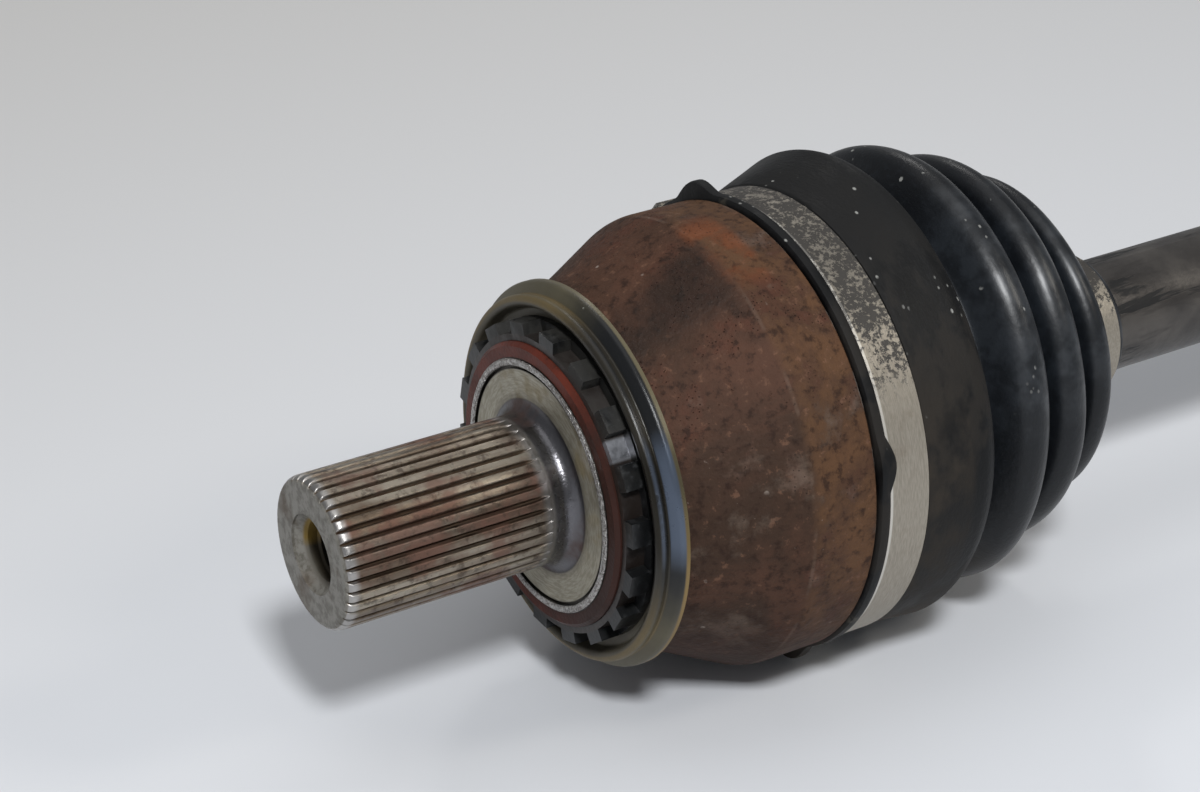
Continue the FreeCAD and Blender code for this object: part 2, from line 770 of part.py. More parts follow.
def shaft_bar():
    """The solid bar: two splined ends with snap ring grooves, and necks behind the stars."""
    body = new_body("bar_turning")
    outer_star_end = "joint_x - star_half"
    inner_star_end = "inner_joint_x + star_half"
    neck_start = "joint_x + star_half + bar_chamfer"
    neck_end = "inner_joint_x - star_half - bar_chamfer"
    turn(
        body,
        [
            ("joint_x - bar_end", "0"),
            ("joint_x - bar_end", "bar_tip_r - bar_chamfer"),
            ("joint_x - bar_end + bar_chamfer", "bar_tip_r"),
            (f"{outer_star_end} - snap_groove_width", "bar_tip_r"),
            (f"{outer_star_end} - snap_groove_width", "snap_groove_r"),
            (outer_star_end, "snap_groove_r"),
            (outer_star_end, "bar_tip_r"),
            (neck_start, "bar_tip_r"),
            (f"{neck_start} + bar_chamfer", "bar_neck_r"),
            (f"{neck_start} + bar_neck_length", "bar_neck_r"),
            (f"{neck_start} + bar_neck_length + bar_neck_taper", "bar_r"),
            (f"{neck_end} - bar_neck_length - bar_neck_taper", "bar_r"),
            (f"{neck_end} - bar_neck_length", "bar_neck_r"),
            (f"{neck_end} - bar_chamfer", "bar_neck_r"),
            (neck_end, "bar_tip_r"),
            (inner_star_end, "bar_tip_r"),
            (inner_star_end, "snap_groove_r"),
            (f"{inner_star_end} + snap_groove_width", "snap_groove_r"),
            (f"{inner_star_end} + snap_groove_width", "bar_tip_r"),
            ("inner_joint_x + bar_end - bar_chamfer", "bar_tip_r"),
            ("inner_joint_x + bar_end", "bar_tip_r - bar_chamfer"),
            ("inner_joint_x + bar_end", "0"),
        ],
    )
    ends = {
        "outer": (size("joint_x - bar_end") - CLEAR, size(neck_start)),
        "inner": (size(neck_end), size("inner_joint_x + bar_end") + CLEAR),
    }
    grooves = []
    for prefix, (start, end) in ends.items():
        groove = flute(size("bar_tip_r"), size("bar_root_r"), size("bar_teeth"), start, end)
        grooves.append(own_shape(f"{prefix}_bar_grooves", copies_around(groove, "bar_teeth")))
    return finish("shaft_bar", cut("bar", body, grooves))


def waves(prefix, wall="0"):
    """Stops for a boot's four ridges and the valleys half way between; a wall moves the line inwards."""
    stops = []
    for letter, following in (("a", "b"), ("b", "c"), ("c", "d"), ("d", None)):
        ridge_x, ridge_r = f"{prefix}ridge_{letter}_x", f"{prefix}ridge_{letter}_r"
        stops.append(stop(ridge_x, f"{ridge_r} - ridge_round", f"ridge_round - {wall}"))
        if following:
            middle = f"({ridge_x} + {prefix}ridge_{following}_x) / 2"
            floor = f"{ridge_r} - {prefix}valley_{letter}_depth + valley_round"
            stops.append(stop(middle, floor, f"-valley_round - {wall}"))
    return stops


def boot_neck(neck_x, end_x):
    """The outside and inside stops of a boot's neck on the bar."""
    bend_r = "boot_neck_r + boot_neck_round"
    bore = "bar_r + boot_play"
    outside = [
        stop(neck_x, bend_r, "-boot_neck_round"),
        stop(f"{neck_x} + boot_neck_taper", "boot_neck_r"),
        stop(end_x, "boot_neck_r"),
    ]
    inside = [
        stop(neck_x, bend_r, "-boot_neck_round - boot_wall"),
        stop(f"{neck_x} + boot_neck_taper + ridge_round / 2", bore),
        stop(end_x, bore),
    ]
    return outside, inside


def outer_boot():
    """The bell-side boot: a lip in front of the band, four shrinking ridges and a neck on the bar."""
    band_end = "band_x + band_width + 2 * band_side_play"
    neck_outside, neck_inside = boot_neck("boot_neck_x", "boot_end_x")
    outside = [
        stop("lip_x", "boot_band_r + boot_lip_rise"),
        stop("band_x - band_side_play", "boot_band_r + boot_lip_rise"),
        stop("band_x", "boot_band_r"),
        stop(band_end, "boot_band_r"),
        stop(f"{band_end} + band_shoulder", "boot_band_r + band_shoulder"),
        *waves(""),
        *neck_outside,
    ]
    inside = [
        stop("lip_x", "boot_seat_r"),
        stop("mouth_x + boot_gap", "boot_seat_r"),
        *waves("", "boot_wall"),
        *neck_inside,
    ]
    return turned_shell("outer_boot", outside, inside, "0")


def inner_boot():
    """The plunging joint's boot: a collar on the sheet-metal cap, four ridges and a neck on the bar."""
    neck_outside, neck_inside = boot_neck("inner_neck_x", "inner_boot_end")
    rim_end = "collar_start + collar_rim_length"
    seat = "cap_bead_r + boot_play"
    outside = [
        stop("collar_start", "collar_r + collar_rim_rise"),
        stop(rim_end, "collar_r + collar_rim_rise"),
        stop(f"{rim_end} + band_side_play", "collar_r"),
        stop("collar_end", "collar_r"),
        stop("collar_end + collar_taper", "collar_r - collar_drop"),
        *waves("inner_"),
        *neck_outside,
    ]
    inside = [
        stop("collar_start", seat),
        stop("collar_end", seat),
        stop("collar_end + collar_taper", f"{seat} - collar_drop"),
        *waves("inner_", "boot_wall"),
        *neck_inside,
    ]
    return turned_shell("inner_boot", outside, inside, "flange_face_x", facing_back=True)


def clamp(name, seat_r, station, width, ear_azimuth):
    """A steel band round a boot's collar, closed by a pinched ear that stands on it."""
    radius = size(seat_r) + size("band_play")
    thick = size("band_thick")
    length = size(width)
    band = Part.makeCylinder(radius + thick, length, CENTRE, X_AXIS)
    bore = Part.makeCylinder(radius, length, CENTRE, X_AXIS)
    foot_half = size("ear_width") / 2
    top_half = foot_half - size("ear_lean")
    foot = radius + thick / 3
    top = radius + thick + size("ear_height")
    slanted = 1.3 * thick  # the wall measured straight across its lean
    corners = [
        (-foot_half, foot),
        (-foot_half + slanted, foot),
        (-top_half + thick, top - thick),
        (top_half - thick, top - thick),
        (foot_half - slanted, foot),
        (foot_half, foot),
        (top_half, top),
        (-top_half, top),
    ]
    inset = size("ear_inset")
    points = [FreeCAD.Vector(inset, y, z) for y, z in corners]
    face = Part.Face(Part.makePolygon(points + points[:1]))
    ear = face.extrude(FreeCAD.Vector(length - 2 * inset, 0, 0))
    whole = band.fuse(ear).cut(bore)
    whole.rotate(CENTRE, X_AXIS, ear_azimuth - 90)
    return finish(name, bind(own_shape(f"{name}_band", whole), Placement__Base__x=station))


def lobed_ring(body, length):
    """A round ring with a lobe for each bolt and a fillet where each lobe leaves the rim."""
    pad(body, circle_sketch(body, f"{body.Name}_rim", "0", "flange_r"), length)
    doc.recompute()
    lobe = circle_sketch(body, f"{body.Name}_lobe", "0", "lobe_r", "bolt_circle_r", "0")
    lobes = around(body, pad(body, lobe, length), "bolt_count")
    return fillet(body, lobes, lobe_roots(lobes), "lobe_fillet")


def bolt_holes(name, start, length):
    """The flange bolts' holes, ready to be cut."""
    places = azimuths("bolt_count", 0.0)
    return straight_holes(name, places, "bolt_circle_r", "bolt_hole_r", start, length)


def inner_housing():
    """The plunging joint's ring: six straight ball tracks, and a lobe for each bolt between them."""
    body = new_body("flange_ring", "flange_face_x")
    lobed_ring(body, "flange_length")
    through = (f"flange_face_x - {CLEAR}", f"flange_length + {2 * CLEAR}")
    bore = solid("Cylinder", "flange_bore", Radius="flange_bore_r", Height=through[1])
    bevel = solid(
        "Cone",
        "flange_bevel",
        Radius1="flange_bore_r + flange_chamfer",
        Radius2="flange_bore_r",
        Height="flange_chamfer",
    )
    seat_depth = f"grease_cap_depth + {CLEAR}"
    seat = solid("Cylinder", "grease_cap_seat", Radius="grease_cap_r", Height=seat_depth)
    tools = [
        place(bore, through[0]),
        place(bevel, "flange_face_x"),
        *straight_tracks("flange_track", *through),
        place(seat, "flange_end_x - grease_cap_depth"),
        *bolt_holes("flange_hole", *through),
    ]
    return finish("inner_housing", cut("flange", body, tools))


def grease_cap():
    """The pressed cap that shuts the plunging joint on the gearbox side."""
    body = new_body("grease_cap_pressing", "flange_end_x - grease_cap_depth")
    rim = "grease_cap_r - press_play"
    dome_r = "flange_bore_r - grease_dome_rise"
    turn(
        body,
        [
            ("0", "flange_bore_r - cage_play"),
            ("0", rim),
            ("grease_cap_depth", rim),
            ("grease_cap_depth", f"{rim} - grease_cap_wall"),
            ("grease_cap_wall", f"{rim} - grease_cap_wall"),
            ("grease_cap_wall", "flange_bore_r - grease_cap_wall"),
            ("grease_dome + grease_cap_wall", dome_r),
            ("grease_dome + grease_cap_wall", "0"),
            ("grease_dome", "0"),
            ("grease_dome", f"{dome_r} - grease_cap_wall / 2"),
        ],
    )
    return finish("grease_cap", body)


def inner_boot_cap():
    """The sheet-metal cap between the flange ring and the inner boot."""
    body = new_body("boot_cap_pressing", "flange_face_x", facing_back=True)
    lobed_ring(body, "cap_thick")
    bore_r = "cap_tube_r - cap_thick"
    bead_start = "cap_length - cap_bead_length - cap_bead_rise"
    turn(
        body,
        [
            ("0", bore_r),
            ("0", "cap_tube_r + cap_round"),
            ("cap_thick", "cap_tube_r + cap_round"),
            ("cap_thick + cap_round", "cap_tube_r"),
            (bead_start, "cap_tube_r"),
            (f"{bead_start} + cap_bead_rise", "cap_bead_r"),
            ("cap_length - cap_bead_rise", "cap_bead_r"),
            ("cap_length", "cap_tube_r"),
            ("cap_length", bore_r),
        ],
        "tube",
    )
    throat = solid("Cylinder", "boot_cap_throat", Radius=bore_r, Height="2 * cap_length")
    through = (f"flange_face_x - cap_thick - {CLEAR}", f"cap_thick + {2 * CLEAR}")
    tools = [place(throat, "flange_face_x - 1.5 * cap_length"), *bolt_holes("cap_hole", *through)]
    return finish("inner_boot_cap", cut("cap", body, tools))


outer_housing()
castellated_ring()
dust_shield()
star("outer", "outer_pitch_r", "joint_x", curved_tracks("outer_star_track", "joint_x - track_offset"))
cage("outer", "outer_pitch_r", "joint_x")
balls("outer", "outer_pitch_r", "joint_x")
snap_ring("outer", "joint_x - star_half - snap_groove_width / 2")
shaft_bar()
outer_boot()
clamp("outer_boot_large_clamp", "boot_band_r", "band_x + band_side_play", "band_width", 40)
small_band_x = "boot_end_x - small_band_inset - small_band_width"
clamp("outer_boot_small_clamp", "boot_neck_r", small_band_x, "small_band_width", 20)
inner_housing()
star_tracks = straight_tracks(
    "inner_star_track", f"inner_joint_x - star_half - {CLEAR}", f"2 * star_half + {2 * CLEAR}"
)
star("inner", "inner_pitch_r", "inner_joint_x", star_tracks)
cage("inner", "inner_pitch_r", "inner_joint_x")
balls("inner", "inner_pitch_r", "inner_joint_x")
snap_ring("inner", "inner_joint_x + star_half + snap_groove_width / 2")
grease_cap()
inner_boot_cap()
inner_boot()
collar_band_x = "flange_face_x - collar_start - collar_rim_length - 2 * band_side_play - band_width"
clamp("inner_boot_large_clamp", "collar_r", collar_band_x, "band_width", 40)
small_band_x = "flange_face_x - inner_boot_end + small_band_inset"
clamp("inner_boot_small_clamp", "boot_neck_r", small_band_x, "small_band_width", 20)

doc.recompute()
for item in doc.Objects:
    if "Invalid" in item.State or "Error" in item.State:
        raise RuntimeError(f"{item.Label} failed: {item.State}")
for node in nodes:
    if node.Shape.isNull() or not node.Shape.isValid() or not node.Shape.Solids:
        raise RuntimeError(f"{node.Label} has no valid solid")
os.makedirs("parts", exist_ok=True)
for node in nodes:
    node.Shape.exportStep(f"parts/{node.Label}.step")
    box = node.Shape.BoundBox
    print(
        f"{node.Label}: {len(node.Shape.Solids)} solid, {node.Shape.Volume / 1000:.1f} cm3,"
        f" x {box.XMin:.1f}..{box.XMax:.1f}, z {box.ZMin:.1f}..{box.ZMax:.1f}"
    )
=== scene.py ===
import math

import bpy
import numpy as np
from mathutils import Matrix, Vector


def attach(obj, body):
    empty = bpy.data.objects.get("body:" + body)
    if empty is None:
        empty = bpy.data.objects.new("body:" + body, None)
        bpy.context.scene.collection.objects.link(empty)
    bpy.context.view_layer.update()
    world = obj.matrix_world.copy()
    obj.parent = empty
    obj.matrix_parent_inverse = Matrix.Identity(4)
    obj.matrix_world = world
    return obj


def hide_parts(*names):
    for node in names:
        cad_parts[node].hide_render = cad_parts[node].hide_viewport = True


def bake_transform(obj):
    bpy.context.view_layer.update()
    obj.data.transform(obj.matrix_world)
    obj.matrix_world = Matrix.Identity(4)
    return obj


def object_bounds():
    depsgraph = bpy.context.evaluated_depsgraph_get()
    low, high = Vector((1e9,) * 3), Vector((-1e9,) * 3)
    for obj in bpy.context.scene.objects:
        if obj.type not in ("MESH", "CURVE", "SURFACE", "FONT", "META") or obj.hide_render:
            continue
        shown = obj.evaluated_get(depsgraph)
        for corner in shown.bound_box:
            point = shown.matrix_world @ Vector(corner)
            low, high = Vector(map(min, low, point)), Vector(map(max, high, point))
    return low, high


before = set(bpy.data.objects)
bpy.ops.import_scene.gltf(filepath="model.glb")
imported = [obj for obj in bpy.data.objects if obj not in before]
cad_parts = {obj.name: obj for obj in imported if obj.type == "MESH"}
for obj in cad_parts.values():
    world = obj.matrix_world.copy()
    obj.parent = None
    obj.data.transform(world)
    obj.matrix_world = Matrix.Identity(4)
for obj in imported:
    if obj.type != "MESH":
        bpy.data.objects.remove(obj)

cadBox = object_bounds()
print("frame loaded:", len(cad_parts), "CAD nodes")

# Half shaft of a driven and steered wheel, lying on a pale floor. X runs along the shaft from the end
# face of the stub axle, Z is up, and every length is in metres. An azimuth is an angle about X, from +Y
# towards +Z. A turned surface is a profile of x and radius carried round X.

creaseAngle = 42


# Shapes

def evenly(points, step):
    # the same line with points an even step apart: its length is measured, then read at equal intervals
    runs = np.hypot(*np.diff(points, axis=0).T)
    travelled = np.concatenate([[0.0], np.cumsum(runs)])
    wanted = np.linspace(0.0, travelled[-1], max(3, int(round(travelled[-1] / step)) + 1))
    return np.column_stack([np.interp(wanted, travelled, points[:, k]) for k in (0, 1)])


def roundedLine(stops, step=0.0006):
    # A line of x and radius past round stops (x, radius, bend). Each run is the common tangent of the
    # circles of radius bend about its two stops; a positive bend passes over its stop, a negative one
    # under it, and 0 is a corner. The turn on each circle goes from one run's direction to the next, in
    # four points or more to a step.
    slopes = []
    for (x, r, bend), (nextX, nextR, nextBend) in zip(stops, stops[1:]):
        reach = math.hypot(nextX - x, nextR - r)
        slopes.append(math.atan2(nextR - r, nextX - x) - math.asin((bend - nextBend) / reach))
    slopes = [slopes[0], *slopes, slopes[-1]]
    turns = []
    for (x, r, bend), before, after in zip(stops, slopes, slopes[1:]):
        count = max(2, int(abs(bend * (after - before)) / (0.25 * step)))
        lean = np.linspace(before, after, count)
        turns.append(np.column_stack([x - bend * np.sin(lean), r + bend * np.cos(lean)]))
    return evenly(np.concatenate(turns), step)


def meshPiece(name, points, faces, body=None):
    # a mesh object from arrays of points and four-cornered faces, turned so that its volume is positive
    a, b, c, d = (points[faces[:, k]] for k in range(4))
    volume = np.einsum("ij,ij->", a, np.cross(b, c)) + np.einsum("ij,ij->", a, np.cross(c, d))
    if volume < 0:
        faces = faces[:, ::-1]
    mesh = bpy.data.meshes.new(name)
    mesh.from_pydata(points.tolist(), [], faces.tolist())
    mesh.polygons.foreach_set("use_smooth", np.ones(len(faces), bool))
    mesh.validate()
    mesh.update()
    mesh.set_sharp_from_angle(angle=math.radians(creaseAngle))
    piece = bpy.data.objects.new(name, mesh)
    bpy.context.scene.collection.objects.link(piece)
    if body:
        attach(piece, body)
    return piece


def evenAzimuths(count):
    # a row of azimuths that divide a full turn into even steps
    return np.linspace(0.0, 2 * np.pi, count, endpoint=False)[None, :]


def gridFaces(rows, count, closed):
    # The four-cornered faces of a grid of points. Each row joins its own end, and in a closed grid the last
    # row joins the first: corners (i, j), (i, j + 1), (i + 1, j + 1) and (i + 1, j).
    i = np.arange(rows if closed else rows - 1)[:, None]
    j = np.arange(count)[None, :]
    over = (i + 1) % rows
    beside = (j + 1) % count
    corners = [i * count + j, i * count + beside, over * count + beside, over * count + j]
    return np.stack(corners, axis=-1).reshape(-1, 4)


def roundPiece(name, x, r, body=None):
    # grids of x and radius carried round X: a point is (x, r cos a, r sin a) with its column's azimuth a
    azimuth = evenAzimuths(r.shape[1])
    points = np.stack([x, r * np.cos(azimuth), r * np.sin(azimuth)], axis=-1).reshape(-1, 3)
    return meshPiece(name, points, gridFaces(*r.shape, True), body)


def turnedPiece(name, profile, count, change=None):
    # A closed profile of (x, radius) carried round X in count steps. Where a change is given, it takes
    # the grids of x, radius and azimuth and gives the grids of x and radius that stand in their place.
    x = np.repeat(profile[:, :1], count, axis=1)
    r = np.repeat(profile[:, 1:], count, axis=1)
    if change:
        x, r = change(x, r, evenAzimuths(count))
    return roundPiece(name, x, r)


def turnAway(azimuth, degrees):
    # the angle from an azimuth given in degrees, wrapped to half a turn each way
    return (azimuth - math.radians(degrees) + np.pi) % (2 * np.pi) - np.pi


def tab(azimuth, degrees, half, power):
    # A rounded tab on the lip: the square of a cosine, 1 at its middle and 0 from half its width away. A
    # power under 1 makes it fuller.
    share = np.clip(np.abs(turnAway(azimuth, degrees)) / math.radians(half), 0.0, 1.0)
    return (np.cos(share * np.pi / 2) ** 2) ** power


def parted(line, x):
    # a line cut in two where it crosses x, with the crossing in both parts
    after = int(np.argmax(line[:, 0] >= x))
    low, high = line[after - 1], line[after]
    crossing = low + (high - low) * (x - low[0]) / (high[0] - low[0])
    return np.vstack([line[:after], crossing]), np.vstack([crossing, line[after:]])


# Material nodes

def tone(red, green, blue):
    # a colour as it is seen on a screen, 0 to 255, as the linear one that a socket takes
    parts = [part / 255 for part in (red, green, blue)]
    return (*[part / 12.92 if part <= 0.04045 else ((part + 0.055) / 1.055) ** 2.4 for part in parts], 1.0)


class Wire:
    # one output socket; arithmetic on it adds Math nodes
    def __init__(self, finish, socket):
        self.finish = finish
        self.socket = socket

    def math(self, operation, *numbers):
        return self.finish.node("Math", {"operation": operation}, dict(enumerate(numbers)))

    def __add__(self, other):
        return self.math("ADD", self, other)

    def __radd__(self, other):
        return self.math("ADD", other, self)

    def __sub__(self, other):
        return self.math("SUBTRACT", self, other)

    def __rsub__(self, other):
        return self.math("SUBTRACT", other, self)

    def __mul__(self, other):
        return self.math("MULTIPLY", self, other)

    def __rmul__(self, other):
        return self.math("MULTIPLY", other, self)

    def __truediv__(self, other):
        return self.math("DIVIDE", self, other)

    def __rtruediv__(self, other):
        return self.math("DIVIDE", other, self)

    def __pow__(self, other):
        return self.math("POWER", self, other)

    def clamped(self):
        return self.finish.node("Clamp", {}, {"Value": self})

    def over(self, start, end):
        # 0 below start and 1 above end, with a smooth rise between; falls where end is below start
        low, high, first, last = (start, end, 0.0, 1.0) if start < end else (end, start, 1.0, 0.0)
        return self.finish.node(
            "MapRange",
            {"interpolation_type": "SMOOTHSTEP"},
            {"Value": self, "From Min": low, "From Max": high, "To Min": first, "To Max": last},
        )

    def within(self, low, high, soft):
        # 1 between low and high, with soft edges outside them
        return self.over(low - soft, low) * self.over(high + soft, high)


class Finish:
    # one material, with the place on the object ready as x, y and z
    def __init__(self, name):
        self.material = bpy.data.materials.new(name)
        self.material.use_nodes = True
        self.tree = self.material.node_tree
        self.tree.nodes.clear()
        self.place = self.node("TexCoord", {}, {}, "Object")
        self.x, self.y, self.z = (self.node("SeparateXYZ", {}, {0: self.place}, axis) for axis in "XYZ")
        self.radius = (self.y * self.y + self.z * self.z) ** 0.5
        self.across = self.y / self.radius
        self.upward = self.z / self.radius

    def node(self, kind, settings, inputs, output=0):
        # any node: its type, its settings, its inputs as values or wires, and the output that is wanted
        made = self.tree.nodes.new("ShaderNode" + kind)
        for name, value in settings.items():
            setattr(made, name, value)
        for name, value in inputs.items():
            if isinstance(value, Wire):
                self.tree.links.new(value.socket, made.inputs[name])
            else:
                made.inputs[name].default_value = value
        return Wire(self, made.outputs[output])

    def mix(self, factor, first, second):
        return self.node("Mix", {"data_type": "RGBA"}, {0: factor, 6: first, 7: second}, 2)

    def mixNumbers(self, factor, first, second):
        return self.node("Mix", {}, {0: factor, 2: first, 3: second})

    def layers(self, colour, *coats):
        # a colour under coats (mask, colour), laid on in turn
        for mask, coat in coats:
            colour = self.mix(mask, colour, coat)
        return colour

    def vector(self, x, y, z):
        return self.node("CombineXYZ", {}, {0: x, 1: y, 2: z})

    def noise(self, scale, detail, rough=0.55, place=None, twist=0.0):
        inputs = {
            "Vector": place or self.place,
            "Scale": scale,
            "Detail": detail,
            "Roughness": rough,
            "Distortion": twist,
        }
        return self.node("TexNoise", {}, inputs)

    def cells(self, scale, place=None):
        return self.node("TexVoronoi", {}, {"Vector": place or self.place, "Scale": scale})

    def turned(self, along, around):
        # a place that runs fast along the shaft and slowly round it, without a seam
        return self.vector(self.x * along, self.across * around, self.upward * around)

    def facing(self, degrees):
        # the cosine of the angle from an azimuth: 1 on it, and -1 opposite
        return self.across * math.cos(math.radians(degrees)) + self.upward * math.sin(math.radians(degrees))

    def surface(self, colour, roughness, metallic=0.0, height=None, depth=0.0001, **constants):
        # the shader that ends a finish, with its relief up to a depth; other sockets are named in words
        # joined by underscores
        inputs = {"Base Color": colour, "Roughness": roughness, "Metallic": metallic}
        if height is not None:
            inputs["Normal"] = self.node("Bump", {}, {"Height": height, "Distance": depth})
        inputs.update({name.replace("_", " "): value for name, value in constants.items()})
        shader = self.node("BsdfPrincipled", {}, inputs, "BSDF")
        end = self.tree.nodes.new("ShaderNodeOutputMaterial")
        self.tree.links.new(shader.socket, end.inputs["Surface"])
        return self.material


# Finishes. A pair (start, end) says where a change begins and where it is complete, and a band (low, high,
# soft) has soft edges on both sides; both are in metres, along x or out from the axis. Sides are azimuths.

forgingValues = {
    "endFace": (0.0005, 0.0002),
    "toothTips": (0.0030, 0.0014),
    "toothEnds": (0.0428, 0.0446),
    "toothFlanks": (0.01550, 0.01520),
    "toothRoots": (0.01500, 0.01462),
    "countersink": (0.0090, 0.0086),
    "stub": (0.0500, 0.0440),
    "bore": (0.0072, 0.0066),
    "boreLength": (0.0003, 0.0430, 0.0002),
    "boreGrease": (0.007, 0.003),
    "boreShade": (0.0012, 0.0036),
    "greaseSide": 50,
    "neck": (0.0452, 0.0462),
    "neckFoot": (0.0184, 0.0176),
    "shoulder": (0.0492, 0.0499),
    "annulus": (0.0183, 0.0239, 0.0004),
    "annulusFootShade": (0.0200, 0.0180),
    "stainSide": 105,
    "frettedRing": (0.0249, 0.0263, 0.0001),
    "redRing": (0.0264, 0.0266),
    "redRingShadeSide": 195,
    "bell": (0.0584, 0.0588),
    "barrel": (0.0835, 0.0865),
    "seam": (0.0846, 0.0848, 0.0005),
    "flame": (0.0850, 0.0915, 0.0025),
    "flameSide": 100,
    "darkBand": (0.0865, 0.0815),
    "darkBandSide": 108,
    "rearEdge": (0.0990, 0.0996),
    # the bell's outside is a cone from coneX that ends at the barrel's radius; its cavity lies under a wall
    "coneX": 0.0587,
    "coneRadius": 0.0352,
    "coneSlope": 0.4737,
    "barrelRadius": 0.048,
    "wall": (0.0016, 0.0022),
    "cavity": (0.0594, 0.0600),
}


def stubColour(f, root, neck, neckColour, grain, broad):
    # broad rubbed crests, flanks and roots darker than the crests, brown and rust-red stains that run along
    # the teeth
    v = forgingValues
    crest = 1 - root
    alongTeeth = f.noise(130, 4, 0.6, place=f.vector(f.x * 0.18, f.y, f.z))
    rootColour = f.mix(broad.over(0.4, 0.65), tone(96, 82, 67), tone(64, 47, 38))
    teeth = f.layers(
        f.mix(alongTeeth.over(0.38, 0.60), tone(162, 153, 139), tone(112, 99, 86)),
        (broad.over(0.47, 0.62) * 0.75, tone(104, 74, 64)),
        (grain.over(0.50, 0.66) * 0.65, tone(70, 58, 50)),
        # darker on the flanks and in the roots of the grooves
        (f.radius.over(*v["toothFlanks"]) * 0.35, tone(84, 68, 55)),
        (root, rootColour),
        # painted highlight: the rounded front tips of the crests are painted bright
        (f.x.over(*v["toothTips"]) * crest * 0.8, tone(176, 174, 172)),
        (f.x.over(*v["toothEnds"]) * crest * 0.6, tone(150, 150, 150)),
    )
    # end face and countersink in one grey, old grease in the hole, and painted shade that darkens the hole
    # with depth
    faceColour = f.mix(grain.over(0.42, 0.62), tone(130, 127, 120), tone(102, 98, 90))
    faceColour = f.mix(broad.over(0.52, 0.68) * 0.5, faceColour, tone(92, 78, 66))
    grease = (f.facing(v["greaseSide"]) + broad).over(0.75, 1.15) * f.x.over(*v["boreGrease"])
    boreColour = f.mix(f.x.over(*v["boreShade"]), tone(124, 120, 112), tone(66, 60, 50))
    boreColour = f.mix(grease, boreColour, tone(124, 102, 52))
    return f.layers(
        teeth,
        (f.x.over(*v["endFace"]), faceColour),
        (f.radius.over(*v["countersink"]) * f.x.over(*v["stub"]), faceColour),
        (f.radius.over(*v["bore"]) * f.x.within(*v["boreLength"]), boreColour),
        (neck, neckColour),
    )


def shoulderColour(f, annulus, ring, edge, neckColour, grain, broad, fretting):
    # cream annulus round the foot of the neck with painted shade next to the neck, dark groove, fretted
    # ring and a rust-red ring at the edge with painted shade on one side
    v = forgingValues
    lathe = f.noise(6, 3, place=f.vector(f.radius * 420, f.across * 1.5, f.upward * 1.5))
    cream = f.layers(
        f.mix(lathe.over(0.35, 0.65), tone(144, 138, 122), tone(168, 163, 148)),
        ((broad + f.facing(v["stainSide"]) * 0.12).over(0.60, 0.72) * 0.6, tone(126, 110, 72)),
        # painted shade with a smear: the annulus darkens next to the neck's foot
        ((f.radius.over(*v["annulusFootShade"]) + broad - 0.4).clamped() * 0.45, tone(84, 76, 66)),
    )
    # painted shade: the red ring is painted dark on one side
    redRingShade = (f.facing(v["redRingShadeSide"]) + (broad - 0.5) * 0.6).over(0.10, 0.75)
    red = f.layers(
        f.mix(broad.over(0.3, 0.7), tone(100, 47, 36), tone(74, 38, 30)),
        (redRingShade * 0.85, tone(42, 30, 26)),
        (grain.over(0.52, 0.68) * 0.6, tone(48, 32, 27)),
    )
    return f.layers(
        f.mix(annulus, tone(64, 60, 55), cream),
        (f.radius.over(*v["neckFoot"]), neckColour),
        (ring, f.mix(fretting, tone(198, 196, 193), tone(128, 122, 117))),
        (edge, red),
    )


def bellColour(f, grain, broad, blotch, pits, darkBand):
    # purple-brown cone and tanner barrel, grey blooms, painted shade below; an orange patch and a dark band
    # on top, pits, pale specks and scratches, and a bright rear edge
    v = forgingValues
    cloud = f.noise(34, 5, 0.62, twist=0.5)
    barrel = f.x.over(*v["barrel"])
    seam = f.x.within(*v["seam"]) * blotch.over(0.42, 0.6)
    flame = f.facing(v["flameSide"]).over(0.955, 0.993) * f.x.within(*v["flame"])
    flame = (flame * 0.9 + f.noise(24, 3).over(0.62, 0.74) * barrel * 0.5) * blotch.over(0.38, 0.60)
    pale = f.cells(150).over(0.10, 0.05) * f.noise(60, 2).over(0.56, 0.62) * grain.over(0.35, 0.5)
    scratch = f.noise(260, 3, place=f.vector(f.x * 2.2, f.y * 0.25, f.z * 2.2)).over(0.70, 0.74)
    scratch = scratch * f.noise(40, 2).over(0.50, 0.60)
    rear = f.x.over(*v["rearEdge"]) * blotch.over(0.48, 0.56)
    return f.layers(
        f.mix(cloud.over(0.36, 0.64), tone(80, 55, 43), tone(58, 43, 34)),
        (barrel * 0.75, f.mix(blotch.over(0.36, 0.64), tone(94, 67, 46), tone(68, 49, 38))),
        (blotch.over(0.52, 0.68) * 0.5, tone(84, 50, 38)),
        (grain.over(0.50, 0.68) * 0.8, tone(42, 28, 22)),
        (grain.over(0.42, 0.30) * 0.5, tone(118, 86, 68)),
        ((cloud * 0.6 + blotch * 0.5).over(0.60, 0.72) * 0.5, tone(110, 97, 86)),
        # painted shade on the underside of the bell
        (f.upward.over(-0.15, -0.85) * 0.65, tone(44, 29, 23)),
        (seam * 0.3, tone(112, 94, 82)),
        (flame.clamped() * 0.75, tone(116, 66, 38)),
        # a dark band along the top, which is also smoother
        (darkBand * 0.8, tone(36, 29, 25)),
        (pits * 0.6, tone(30, 20, 17)),
        (pale * 0.75, tone(160, 148, 138)),
        (scratch * 0.5, tone(138, 124, 114)),
        (rear * 0.6, tone(176, 168, 160)),
    )


